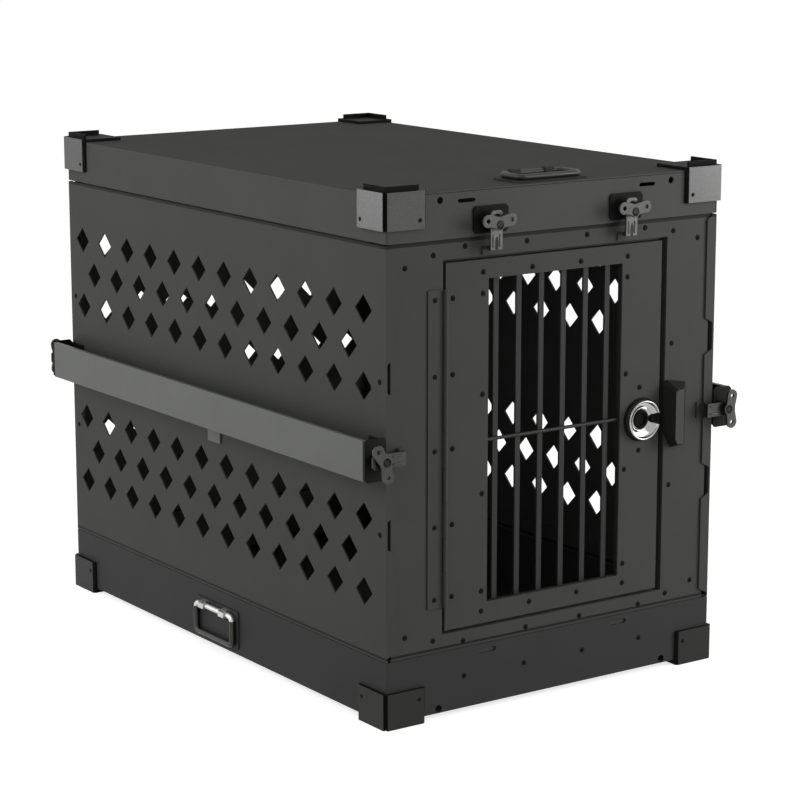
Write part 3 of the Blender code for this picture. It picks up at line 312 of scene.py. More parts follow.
@dataclass(frozen=True)
class PowderCoat(Finish):
    """Baked powder on sheet metal: orange peel, a finer grain and a slow change of tone.

    The scales are waves in a metre, the depth is in metres, and the lights are factors of colour.
    """

    roughness: float = 0.55
    specular: float = 0.30
    smoother: float = 0.05
    rougher: float = 0.06
    peel_scale: float = 420.0
    peel_depth: float = 0.00005
    grain_scale: float = 2100.0
    grain_share: float = 0.22
    grain_light: float = 1.5
    mottle_scale: float = 11.0
    mottle: float = 0.06

    def values(self, shader: Shader) -> dict[str, object]:
        """Values of the Principled shader: the grain is a third as deep as the peel.

        Args:
            shader: The material that takes the coat's nodes.

        Returns:
            Input names of the Principled shader, with sockets or numbers.
        """
        colour = linear(self.colour)
        dark, light = shade(colour, 1 - self.mottle), shade(colour, 1 + self.mottle)
        peel = shader.noise(self.peel_scale, detail=3)
        grain = shader.noise(self.grain_scale, detail=1)
        mottle = shader.spread(shader.noise(self.mottle_scale, detail=5), 0, 1)
        specks = shader.spread(grain, 0, self.grain_share)
        return {
            "Base Color": shader.mix(
                specks, shader.mix(mottle, dark, light), shade(colour, self.grain_light)
            ),
            "Roughness": shader.spread(
                peel, self.roughness - self.smoother, self.roughness + self.rougher
            ),
            "Specular IOR Level": self.specular,
            "Normal": shader.bump(peel, self.peel_depth, shader.bump(grain, self.peel_depth / 3)),
        }


@dataclass(frozen=True)
class SeamShadowCoat(PowderCoat):
    """A coat with painted shadow lines where another sheet's edge shades it, from one z to another.
    """

    # painted shadow: a dark band of colour in each z range below, under the lid's overhanging edge
    # and along the lower joint of the sheets
    seam_shadow: str = "1d1d1c"
    seam_shadows: Pairs = ((0.5602, 0.5652), (0.0829, 0.0858))

    def values(self, shader: Shader) -> dict[str, object]:
        """Values of the Principled shader: the coat's, but with painted shadow where z is inside
        one of the shadow bands.

        Args:
            shader: The material that takes the coat's nodes.

        Returns:
            Input names of the Principled shader, with sockets or numbers.
        """
        values = super().values(shader)
        height = shader.axes()[2]
        for low, high in self.seam_shadows:
            over = shader.maths("GREATER_THAN", height, low)
            inside = shader.maths("MULTIPLY", over, shader.maths("LESS_THAN", height, high))
            values["Base Color"] = shader.mix(inside, values["Base Color"], linear(self.seam_shadow))
        return values


@dataclass(frozen=True)
class Plastic(Finish):
    """Moulded black plastic with a fine leather grain and faint handling marks.

    The scales are waves in a metre, the depth is in metres, and the lights are factors of colour.
    """

    colour: str = "161615"
    roughness: float = 0.5
    specular: float = 0.22
    smoother: float = 0.07
    rougher: float = 0.08
    leather_scale: float = 900.0
    leather_depth: float = 0.00004
    mark_scale: float = 70.0
    mark_dark: float = 0.85
    mark_light: float = 1.25

    def values(self, shader: Shader) -> dict[str, object]:
        """Values of the Principled shader for this plastic.

        Args:
            shader: The material that takes the plastic's nodes.

        Returns:
            Input names of the Principled shader, with sockets or numbers.
        """
        colour = linear(self.colour)
        dark, light = shade(colour, self.mark_dark), shade(colour, self.mark_light)
        grain = {"Vector": shader.place, "Scale": self.leather_scale}
        cells = shader.add("ShaderNodeTexVoronoi", grain, feature="SMOOTH_F1").outputs["Distance"]
        marks = shader.noise(self.mark_scale, detail=6)
        return {
            "Base Color": shader.mix(shader.spread(marks, 0, 1), dark, light),
            "Roughness": shader.spread(
                marks, self.roughness - self.smoother, self.roughness + self.rougher
            ),
            "Specular IOR Level": self.specular,
            "Normal": shader.bump(cells, self.leather_depth),
        }


@dataclass(frozen=True)
class Metal(Finish):
    """Plated or bare metal: brushed along one axis, with duller patches.

    The scales are waves in a metre, the depth is in metres, and the lights are factors of colour.
    A patch adds dull to the roughness.
    """

    roughness: float
    brush: Point = (1, 1, 1)
    dull: float = 0.12
    metallic: float = 0.9
    smoother: float = 0.03
    rougher: float = 0.04
    line_scale: float = 260.0
    line_depth: float = 0.00001
    patch_scale: float = 42.0
    patch_dark: float = 0.82
    patch_light: float = 1.12

    def values(self, shader: Shader) -> dict[str, object]:
        """Values of the Principled shader for this metal.

        Args:
            shader: The material that takes the metal's nodes.

        Returns:
            Input names of the Principled shader, with sockets or numbers.
        """
        colour = linear(self.colour)
        dark, light = shade(colour, self.patch_dark), shade(colour, self.patch_light)
        lines = shader.noise(self.line_scale, 3, self.brush)
        patch = shader.spread(shader.noise(self.patch_scale, detail=5), 0, 1)
        streak = shader.spread(lines, self.roughness - self.smoother, self.roughness + self.rougher)
        return {
            "Base Color": shader.mix(patch, dark, light),
            "Roughness": shader.maths("MULTIPLY_ADD", patch, self.dull, streak),
            "Metallic": self.metallic,
            "Normal": shader.bump(lines, self.line_depth),
        }


@dataclass(frozen=True)
class HighlitTopMetal(Metal):
    """Metal that is bright above a level: a painted highlight where light from above falls on the
    top bar, and the brighter plated roll that wraps it.
    """

    roll_and_highlight: str = "d2d2ce"
    level: float = 0.0505

    def values(self, shader: Shader) -> dict[str, object]:
        """Values of the Principled shader: the metal's, but the painted highlight colour over the
        level.

        Args:
            shader: The material that takes the metal's nodes.

        Returns:
            Input names of the Principled shader, with sockets or numbers.
        """
        values = super().values(shader)
        over = shader.maths("GREATER_THAN", shader.axes()[2], self.level)
        values["Base Color"] = shader.mix(over, values["Base Color"], linear(self.roll_and_highlight))
        return values


@dataclass(frozen=True)
class RecessShadeMetal(Metal):
    """Metal with an oval black spot at |x|, z: painted shade in a hollow, such as a wing's spindle
    socket and a hook's slot.
    """

    spot: tuple[float, float] = (0.0, 0.0)
    size: tuple[float, float] = (0.0055, 0.0055)
    # the colour of the painted shade in the oval
    dark: str = "161615"

    def values(self, shader: Shader) -> dict[str, object]:
        """Values of the Principled shader: the metal's, but with painted shade in the oval.

        It is inside where ((|x| - u) / a) squared + ((z - v) / b) squared is under 1.

        Args:
            shader: The material that takes the metal's nodes.

        Returns:
            Input names of the Principled shader, with sockets or numbers.
        """
        values = super().values(shader)
        x, _, z = shader.axes()
        parts = []
        for value, middle, half in zip((shader.maths("ABSOLUTE", x), z), self.spot, self.size):
            step = shader.maths("DIVIDE", shader.maths("SUBTRACT", value, middle), half)
            parts.append(shader.maths("MULTIPLY", step, step))
        inside = shader.maths("LESS_THAN", shader.maths("ADD", *parts), 1.0)
        values["Base Color"] = shader.mix(inside, values["Base Color"], linear(self.dark))
        return values


Second = tuple[Finish, Rule]

# the panel coat has painted shadow lines in two bands of z
PANEL = SeamShadowCoat("panel_coat", "40403f", roughness=0.50, specular=0.08)
FLANGE = PowderCoat("flange_coat", "464645", roughness=0.5, specular=0.08)
# painted light: the lid's top and sides share one coat; the top takes a darker shaded copy and the
# sides a lighter lit copy
LID_TOP_SHADED = PowderCoat("lid_top_coat", "3f3f3e", roughness=0.75, specular=0.02)
LID_SIDE_LIT = PowderCoat("lid_side_coat", "4c4c4b", roughness=0.6, specular=0.06)
BASE = PowderCoat("base_coat", "353535", roughness=0.50, specular=0.08)
LID_CAP = PowderCoat("lid_cap_coat", "3f3f3e", roughness=0.24, specular=0.5, peel_depth=0.000003)
# painted shade: the base caps are the same caps as the lid's, given a darker colour because they
# sit low, by the floor
BASE_CAP_SHADED = PowderCoat("base_cap_coat", "30302f", roughness=0.30, specular=0.09, peel_depth=0.00001)
# near black for the caps' black spacer, and painted shade on their sides, arris groove and top
# edges
CAP_SPACER_AND_SHADE = PowderCoat("cap_edge_black", "101010", roughness=0.6, specular=0.05, peel_depth=0.00001)
RAIL = PowderCoat("rail_coat", "5a5c58", roughness=0.42, specular=0.25, peel_depth=0.00002)
BRACKET = PowderCoat("bracket_coat", "121211", roughness=0.5, specular=0.08)
GRILLE = PowderCoat("grille_coat", "1d1d1c", roughness=0.5, specular=0.22)
RIVET = PowderCoat("rivet_black", "0f0f0f", roughness=0.55, specular=0.06)
BLACK = Plastic("black_plastic")
MATT_BLACK = Plastic("matt_black_plastic", "0d0d0d", roughness=0.6, specular=0.06)
# painted light: one guard, with a darker shaded copy of its coat on its sides and foot and a
# lighter lit copy on its front face
GUARD_SHADED = PowderCoat("guard_coat", "232322", roughness=0.5, specular=0.08)
GUARD_LIT = PowderCoat("guard_ridge_coat", "3e3e3c", roughness=0.45, specular=0.12)
WING_LID = RecessShadeMetal("lid_wing_steel", "444442", 0.36, metallic=0.7, spot=(0.100, 0.5790))
# painted shade: the corner latches are the same steel as the lid latches, given darker colours
# because they look darker where they sit
WING_CORNER_SHADED = RecessShadeMetal("corner_wing_steel", "3d3d3b", 0.36, metallic=0.7, spot=(0.2564, 0.3222))
HOOK_LID = RecessShadeMetal(
    "lid_hook_steel", "525250", 0.32, metallic=0.7, spot=(0.100, 0.5560), size=(0.0024, 0.0090)
)
HOOK_CORNER_SHADED = Metal("corner_hook_steel", "3a3a38", 0.36, metallic=0.7)
# near black for the plate's dark steel and for the painted shadow that the wing casts on it
LATCH_PLATE_AND_SHADOW = PowderCoat("latch_plate_black", "0e0e0d", roughness=0.5, specular=0.06)
ZINC = Metal("zinc_steel", "8d8d8a", 0.34, brush=(1, 1, 8))
# the base bails have a painted highlight on their top bar, together with its plated roll
BAIL = HighlitTopMetal("bail_steel", "3c3c39", 0.30, metallic=0.8)
LUG = Metal("lug_steel", "c6c6c2", 0.26)
LID_BAIL = Metal("lid_bail_steel", "2a2a28", 0.42, metallic=0.4)
CHROME = Metal("chrome", "a6a6a4", 0.10, dull=0.05, metallic=1.0)


class Palette:
    """The materials that have been built, one for each finish."""

    made: dict[str, bpy.types.Material] = {}

    @classmethod
    def get(cls, finish: Finish) -> bpy.types.Material:
        """The material of a finish, built the first time that it is asked for.

        Args:
            finish: The finish.

        Returns:
            Its material.
        """
        if finish.name not in cls.made:
            cls.made[finish.name] = finish.build()
        return cls.made[finish.name]


# ---- surfaces


def frame_at(origin: Point, out: Point, up: Point) -> np.ndarray:
    """A 4 by 4 matrix with Z along out and Y as near to up as it can be.

    Args:
        origin: Where the local origin goes.
        out: Direction of the local Z.
        up: Direction near the local Y.

    Returns:
        The matrix, from local to world.
    """
    z = np.array(out, float) / np.linalg.norm(out)
    x = np.cross(np.array(up, float), z)
    x /= np.linalg.norm(x)
    made = np.eye(4)
    made[:3, 0], made[:3, 1], made[:3, 2], made[:3, 3] = x, np.cross(z, x), z, origin
    return made


@dataclass
class Surface:
    """Points and four-sided faces gathered from one or more grids."""

    points: np.ndarray = field(default_factory=lambda: np.zeros((0, 3)))
    faces: np.ndarray = field(default_factory=lambda: np.zeros((0, 4), int))

    def join(self, other: Surface) -> Surface:
        """This surface with another added."""
        faces = np.concatenate([self.faces, other.faces + len(self.points)])
        return Surface(np.concatenate([self.points, other.points]), faces)

    def at(self, matrix: np.ndarray) -> Surface:
        """The surface carried to another place."""
        return Surface(self.points @ matrix[:3, :3].T + matrix[:3, 3], self.faces)

    def at_each(self, matrices: np.ndarray) -> Surface:
        """Copies of the surface.

        Args:
            matrices: One matrix for each copy, (n, 4, 4).

        Returns:
            All the copies as one surface.
        """
        turned = np.einsum("nij,pj->npi", matrices[:, :3, :3], self.points)
        steps = np.arange(len(matrices))[:, None, None] * len(self.points)
        points = turned + matrices[:, None, :3, 3]
        return Surface(points.reshape(-1, 3), (self.faces[None] + steps).reshape(-1, 4))

    def build(
        self, name: str, finish: Finish, body: str, slot: Slot, sharp: float = 40.0
    ) -> bpy.types.Object:
        """Make the mesh object, its poles closed and its faces outward, and let it ride.

        Args:
            name: Name of the piece.
            finish: Its finish.
            body: The CAD body that it moves with.
            slot: The record's material slot. Not used.
            sharp: Edges that bend more than this many degrees stay sharp.

        Returns:
            The object.
        """
        mesh = bpy.data.meshes.new(name)
        mesh.from_pydata(self.points.tolist(), [], self.faces.tolist())
        clean(mesh, dissolve=False)
        return dressed(name, mesh, finish, body, sharp)


def grid(points: np.ndarray, around: bool = False, along: bool = False) -> Surface:
    """A surface over a (rows, columns, 3) grid of points.

    Args:
        points: The grid.
        around: Whether the last column joins the first.
        along: Whether the last row joins the first.

    Returns:
        The surface.
    """
    index = np.arange(points.shape[0] * points.shape[1]).reshape(points.shape[:2])
    if around:
        index = np.concatenate([index, index[:, :1]], axis=1)
    if along:
        index = np.concatenate([index, index[:1]], axis=0)
    faces = np.stack([index[:-1, :-1], index[:-1, 1:], index[1:, 1:], index[1:, :-1]], axis=-1)
    return Surface(points.reshape(-1, 3), faces.reshape(-1, 4))


def revolve(profile: np.ndarray, steps: int) -> Surface:
    """A profile turned about Z: x = r cos t, y = r sin t, z = h.

    Args:
        profile: Radius r and height h of each point, (n, 2).
        steps: Faces round the turn.

    Returns:
        The surface, with a pole wherever r is 0.
    """
    turn = np.linspace(0, FULL_CIRCLE, steps, endpoint=False)
    radius, height = profile[:, 0, None], profile[:, 1, None]
    parts = [radius * np.cos(turn), radius * np.sin(turn), height + 0 * turn]
    return grid(np.stack(parts, axis=-1), around=True)


def rolled_rim(radius: float, height: float, roll: float, steps: int) -> np.ndarray:
    """Half a circle over a rim, from outside in: r = radius + roll cos t, h = height + roll sin t.

    Args:
        radius: Radius of the rim's middle.
        height: Height of its middle.
        roll: Radius of the half circle.
        steps: Points on it.

    Returns:
        Radius and height of each point, (steps, 2).
    """
    turn = np.linspace(0, math.pi, steps)
    return np.stack([radius + roll * np.cos(turn), height + roll * np.sin(turn)], axis=-1)


def loft(outlines: np.ndarray) -> Surface:
    """Closed outlines of as many points each, joined in turn, with a pole inside each end one.

    Args:
        outlines: Points, (rows, columns, 3).

    Returns:
        The closed surface.
    """
    poles = outlines[[0, -1]].mean(axis=1, keepdims=True).repeat(outlines.shape[1], axis=1)
    return grid(np.concatenate([poles[:1], outlines, poles[1:]]), around=True)


def box_between(low: Point, high: Point) -> Surface:
    """A closed box, lofted along Y.

    Args:
        low: Its corner with the least x, y and z.
        high: Its corner with the most.

    Returns:
        The surface.
    """
    x = np.array([low[0], high[0], high[0], low[0]])
    z = np.array([low[2], low[2], high[2], high[2]])
    return loft(np.stack([np.stack([x, 0 * x + y, z], axis=-1) for y in (low[1], high[1])]))


def tube(path: np.ndarray, radius: float, steps: int, normal: Point) -> Surface:
    """A round bar along a closed flat path: p + r (cos t side + sin t normal).

    Args:
        path: Points of the centreline, (n, 3).
        radius: Radius of the bar.
        steps: Faces round it.
        normal: Direction square to the plane of the path.

    Returns:
        The closed surface.
    """
    ahead = np.roll(path, -1, axis=0) - np.roll(path, 1, axis=0)
    ahead /= np.linalg.norm(ahead, axis=1, keepdims=True)
    up = np.array(normal, float)
    side = np.cross(ahead, up)
    turn = np.linspace(0, FULL_CIRCLE, steps, endpoint=False)[:, None]
    ring = side[:, None] * np.cos(turn) + up * np.sin(turn)
    return grid(path[:, None] + radius * ring, around=True, along=True)


def rounded_path(half_u: float, v0: float, v1: float, corner: float, steps: int) -> np.ndarray:
    """A rectangle with round corners in the local XY plane: centre + corner (cos t, sin t) at each.

    Args:
        half_u: Half its width along X, on both sides of the origin.
        v0: Its low edge along Y.
        v1: Its high edge.
        corner: Radius of the corners.
        steps: Points on each corner.

    Returns:
        The points, (4 * steps, 3).
    """
    middle = (half_u - corner, (v1 - v0) / 2 - corner)
    turn = np.linspace(0, math.pi / 2, steps)
    angle = (turn[None] + np.arange(4)[:, None] * math.pi / 2).ravel()
    signs = np.array([(1, 1), (-1, 1), (-1, -1), (1, -1)])
    centre = np.repeat(signs * middle, steps, axis=0)
    u = centre[:, 0] + corner * np.cos(angle)
    v = centre[:, 1] + corner * np.sin(angle) + (v0 + v1) / 2
    return np.stack([u, v, 0 * u], axis=-1)


def clean(mesh: bpy.types.Mesh, dissolve: bool) -> None:
    """Merge a mesh's doubled points and turn its faces outward.

    Args:
        mesh: The mesh.
        dissolve: Whether faces of one plane are joined too.
    """
    work = bmesh.new()
    work.from_mesh(mesh)
    bmesh.ops.remove_doubles(work, verts=work.verts, dist=WELD_DISTANCE)
    if dissolve:
        bmesh.ops.dissolve_limit(
            work, angle_limit=FLAT_ANGLE, verts=work.verts, edges=work.edges
        )
    bmesh.ops.recalc_face_normals(work, faces=work.faces)
    work.to_mesh(mesh)
    work.free()


def dressed(
    name: str, mesh: bpy.types.Mesh, finish: Finish, body: str, sharp: float
) -> bpy.types.Object:
    """Put a mesh in the scene at the origin, give it its finish and let it ride on its body.

    Args:
        name: Name of the piece.
        mesh: Its mesh, in place.
        finish: Its finish.
        body: The CAD body that it moves with.
        sharp: Edges that bend more than this many degrees stay sharp.

    Returns:
        The object.
    """
    mesh.materials.clear()
    mesh.materials.append(Palette.get(finish))
    mesh.polygons.foreach_set("use_smooth", np.ones(len(mesh.polygons), bool))
    mesh.set_sharp_from_angle(angle=math.radians(sharp))
    piece = bpy.data.objects.new(name, mesh)
    bpy.context.scene.collection.objects.link(piece)
    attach(piece, body)
    LOG.info("%s: %s, on %s", name, finish.name, body)
    return piece


def two_tone(mesh: bpy.types.Mesh, finish: Finish, rule: Rule) -> None:
    """Give some faces a second finish.

    Args:
        mesh: The mesh, which has one finish.
        finish: The second one.
        rule: Says, from the centres and normals of the faces, which take it.
    """
    centres, normals = np.empty((2, 3 * len(mesh.polygons)))
    mesh.polygons.foreach_get("center", centres)
    mesh.polygons.foreach_get("normal", normals)
    mesh.materials.append(Palette.get(finish))
    picked = rule(centres.reshape(-1, 3), normals.reshape(-1, 3))
    mesh.polygons.foreach_set("material_index", picked.astype(np.int32))


def round_edges(piece: bpy.types.Object, radius: float, steps: int) -> None:
    """Round a piece's edges and keep its flat faces flat in shade.

    Args:
        piece: The piece.
        radius: Width of the rounding.
        steps: Faces across it.
    """
    bevel = piece.modifiers.new("Bevel", "BEVEL")
    bevel.width, bevel.segments, bevel.limit_method = radius, steps, "ANGLE"
    bevel.angle_limit = BEVEL_ANGLE
    bevel.miter_outer = "MITER_ARC"
    weighted = piece.modifiers.new("WeightedNormal", "WEIGHTED_NORMAL")
    weighted.keep_sharp = True


@dataclass
class Workshop:
    """The CAD nodes, and the two ways to dress one."""

    nodes: dict[str, bpy.types.Object]

    def paint(self, node: str, finish: Finish) -> None:
        """Keep a CAD node as it is, with a better material.

        Args:
            node: The CAD node.
            finish: Its finish.
        """
        for place in self.nodes[node].material_slots:
            place.material = Palette.get(finish)
        LOG.info("%s: %s", node, finish.name)

    def soften(
        self,
        node: str,
        finish: Finish,
        slot: Slot,
        radius: float,
        steps: int = 2,
        second: Second | None = None,
    ) -> None:
        """Replace a CAD node by a copy of itself with rounded edges.

        Args:
            node: The CAD node.
            finish: Finish of the copy.
            slot: The record's material slot. Not used.
            radius: Width of the rounding.
            steps: Faces across the rounding.
            second: Another finish, and the rule that says which faces take it.
        """
        mesh = self.nodes[node].data.copy()
        clean(mesh, dissolve=True)
        body = self.nodes[node]["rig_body"]
        piece = dressed(node + "_rounded", mesh, finish, body, NO_SHARP_EDGE)
        if second:
            two_tone(mesh, *second)
        round_edges(piece, radius, steps)
        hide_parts(node)


# ---- small fasteners


@dataclass
class Fasteners:
    """Rivets and screws of one body, gathered into one piece.

    The pit of a head is given as shares of its radius and of its height.
    """

    name: str
    body: str
    finish: Finish = RIVET
    slot: Slot = Slot.LATCH
    radius: float = 0.0034
    height: float = 0.0012
    seat: float = 0.0003
    dome_end: float = 0.62
    dome_steps: int = 5
    steps: int = 12
    pit: Pairs = ((0.36, 0.95), (0.288, 0.45), (0.0, 0.40))
    places: list[np.ndarray] = field(default_factory=list)

    def head(self) -> Surface:
        """Domed head with a pit: h = height sqrt(1 - (r / radius) squared) outside the pit.

        Returns:
            The head, on its local origin.
        """
        rim = np.sin(np.linspace(math.pi / 2, self.dome_end, self.dome_steps))
        dome = np.stack([self.radius * rim, self.height * np.sqrt(1 - rim**2)], axis=-1)
        pit = np.array(self.pit) * (self.radius, self.height)
        foot = [(0, -self.seat), (self.radius, -self.seat)]
        return revolve(np.concatenate([foot, dome, pit]), self.steps)

    def add(self, spots: Pairs, plane: float, axis: Axis) -> Fasteners:
        """Heads at spots on a plane.

        Args:
            spots: For axis Y the (x, z) of each, and for X the (y, z).
            plane: Where the plane is along the axis. Its sign says which way the heads face.
            axis: The axis square to the plane.

        Returns:
            The same fasteners, so that calls chain.
        """
        out = math.copysign(1, plane) * np.eye(3)[axis.value]
        for spot in spots:
            place = np.insert(spot, axis.value, plane)
            self.places.append(frame_at(tuple(place), tuple(out), (0, 0, 1)))
        return self

    def build(self) -> None:
        """Make the piece."""
        heads = self.head().at_each(np.array(self.places))
        heads.build(self.name, self.finish, self.body, self.slot)


def mirrored(spots: Pairs) -> Pairs:
    """Spots on both sides of the middle, from those on one side."""
    return tuple((sign * u, v) for sign in (-1, 1) for u, v in spots)


# ---- sub-assemblies


@dataclass
class Shell:
    """Base tray, side walls and lid: the folded sheets that carry the rest."""

    shop: Workshop
    half_x: float = 0.245
    half_y: float = 0.37675
    tray_bend: float = 0.0012
    lid_bend: float = 0.0007
    flange_rivets: Pairs = ((0.1335, 0.0455), (0.0445, 0.0455))
    wall_rivets: Pairs = ((0.3645, 0.4084), (0.3645, 0.2303))

    def shaded_upper_faces(self, centres: np.ndarray, normals: np.ndarray) -> np.ndarray:
        """The faces that look up, which take the darker copy of the lid's coat: painted shade, as
        the top looks darker than the sides under this light.
        """
        return normals[:, 2] > FACING

    def build(self) -> None:
        """Dress the sheets and set their rivets."""
        # the lid's upward faces take the painted-shade copy of its coat, the rest the lighter lit
        # copy
        top = (LID_TOP_SHADED, self.shaded_upper_faces)
        self.shop.soften("base_tray", BASE, Slot.BASE, self.tray_bend)
        self.shop.soften("lid_shell", LID_SIDE_LIT, Slot.LID, self.lid_bend, second=top)
        for side in Side:
            self.shop.paint(side.name.lower() + "_wall", PANEL)
        for end in End:
            self.shop.paint(f"lid_{end.name.lower()}_flange", FLANGE)
        rivets = Fasteners("shell_rivets", "base")
        for end in End:
            rivets.add(mirrored(self.flange_rivets), end.value * self.half_y, Axis.Y)
        for side in Side:
            rivets.add(mirrored(self.wall_rivets), side.value * self.half_x, Axis.X)
        rivets.build()


@dataclass
class CornerCaps:
    """The eight stacking caps, each with a rivet in its two outer faces."""

    shop: Workshop
    x_face: float = 0.250
    y_face: float = 0.38175
    skin: float = 0.001
    wall_top: float = 0.6236
    edge: float = 0.0009
    rivet_x: float = 0.2015
    rivet_y: float = 0.3330
    lid_rivet: float = 0.5905
    base_rivet: float = 0.0305
    rivet_radius: float = 0.0026
    rivet_height: float = 0.0007

    def inner_faces(self, centres: np.ndarray, normals: np.ndarray) -> np.ndarray:
        """Every face but a cap's two plates: |x| or |y| inside its plane, or z over the plates.
        These take the near-black of the spacer under the plates together with painted shade on the
        cap's sides, groove and top edges.

        Args:
            centres: Centres of the faces, (n, 3).
            normals: Their normals, (n, 3).

        Returns:
            Which faces they are, (n,).
        """
        plane = np.array([self.x_face, self.y_face]) - self.skin
        plate = (np.abs(normals[:, :2]) > FACING) & (np.abs(centres[:, :2]) > plane)
        return ~(plate.any(axis=1) & (centres[:, 2] < self.wall_top))

    def build(self) -> None:
        """Round the caps and set their rivets."""
        self.layer("lid", LID_CAP, self.lid_rivet)
        # the base caps take the darker, painted-shade colour
        self.layer("base", BASE_CAP_SHADED, self.base_rivet)

    def layer(self, body: str, finish: Finish, level: float) -> None:
        """Round the four caps of one body and set their rivets.

        Args:
            body: The CAD body, whose name starts the names of its caps.
            finish: Finish of the caps' outer plates.
            level: Height of their rivets.
        """
        radius, height = self.rivet_radius, self.rivet_height
        rivets = Fasteners(body + "_cap_rivets", body, radius=radius, height=height)
        for end in End:
            for side in Side:
                node = f"{body}_cap_{end.name}_{side.name}".lower()
                # the faces off the two plates take the spacer's black together with painted shade
                second = (CAP_SPACER_AND_SHADE, self.inner_faces)
                self.shop.soften(node, finish, Slot.CAP, self.edge, steps=3, second=second)
                rivets.add(((side.value * self.rivet_x, level),), end.value * self.y_face, Axis.Y)
                rivets.add(((end.value * self.rivet_y, level),), side.value * self.x_face, Axis.X)
        rivets.build()


@dataclass
class EndFrames:
    """Front frame and rear wall, their rivets, a dark strip that paints shade in the gap over the
    door, and the guard by the lock.
    """

    shop: Workshop
    face: float = 0.37445
    leaf_face: float = 0.3756
    top: Pairs = ((0.217, 0.5365), (0.178, 0.548), (0.1335, 0.555), (0.0445, 0.554))
    bottom: Pairs = ((0.217, 0.1055), (0.177, 0.095), (0.1335, 0.088), (0.041, 0.089))
    right: Pairs = ((0.179, 0.410), (0.179, 0.233))
    leaf: Pairs = tuple((-0.1765, level) for level in HINGE_LEVELS)
    guard_foot: Pairs = (
        (0.1655, 0.361),
        (0.1655, 0.304),
        (0.1800, 0.280),
        (0.2035, 0.281),
        (0.2035, 0.360),
        (0.1710, 0.366),
    )
    guard_ridge: Pairs = (
        (0.1700, 0.353),
        (0.1700, 0.294),
        (0.1735, 0.288),
        (0.1825, 0.288),
        (0.1825, 0.356),
        (0.1735, 0.356),
    )
    guard_height: float = 0.0212
    guard_edge: float = 0.0009
    # painted shade: a thin dark strip behind the gap over the door, so that the gap looks dark
    shade_strip_low: Point = (-0.1650, -0.3672, 0.5381)
    shade_strip_high: Point = (0.1650, -0.3652, 0.5418)

    def guard(self) -> Surface:
        """Cast hood over the bolt: six-sided at its foot, drawn in to a narrow ridge.

        Returns:
            The closed surface, lofted between the two outlines.
        """
        rows = []
        for outline, height in ((self.guard_foot, 0.0), (self.guard_ridge, self.guard_height)):
            x, z = np.array(outline).T
            rows.append(np.stack([x, np.full(len(x), -self.face - height), z], axis=-1))
        return loft(np.array(rows))

    def lit_outer_faces(self, centres: np.ndarray, normals: np.ndarray) -> np.ndarray:
        """The faces that look out of the door end, which take the guard's lighter copy: painted
        light on the face that the lamps reach, beside the painted shade of its other faces.
        """
        return normals[:, 1] < -FACING

    def build(self) -> None:
        """Dress both ends."""
        for end in End:
            self.shop.paint(end.name.lower() + "_wall", PANEL)
            self.shop.paint(end.name.lower() + "_wall_top_channel", PANEL)
        self.shop.paint("door_hinge_frame_leaf", PANEL)
        self.shop.paint("door_hinge_pin", ZINC)
        # the guard's front face takes painted light and its other faces take painted shade
        guard = self.guard().build("strike_guard_cover", GUARD_SHADED, "front_end", Slot.PLASTIC)
        two_tone(guard.data, GUARD_LIT, self.lit_outer_faces)
        round_edges(guard, self.guard_edge, steps=3)
        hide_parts("strike_guard")
        # a dark strip that stands for the shade in the gap over the door
        shade_strip = box_between(self.shade_strip_low, self.shade_strip_high)
        shade_strip.build("door_head_stop", GRILLE, "front_end", Slot.PANEL)
        around = mirrored(self.top + self.bottom)
        front = Fasteners("front_frame_rivets", "front_end")
        front.add(around + self.right, -self.face, Axis.Y).add(self.leaf, -self.leaf_face, Axis.Y)
        front.build()
        Fasteners("rear_wall_rivets", "rear_end").add(around, self.face, Axis.Y).build()


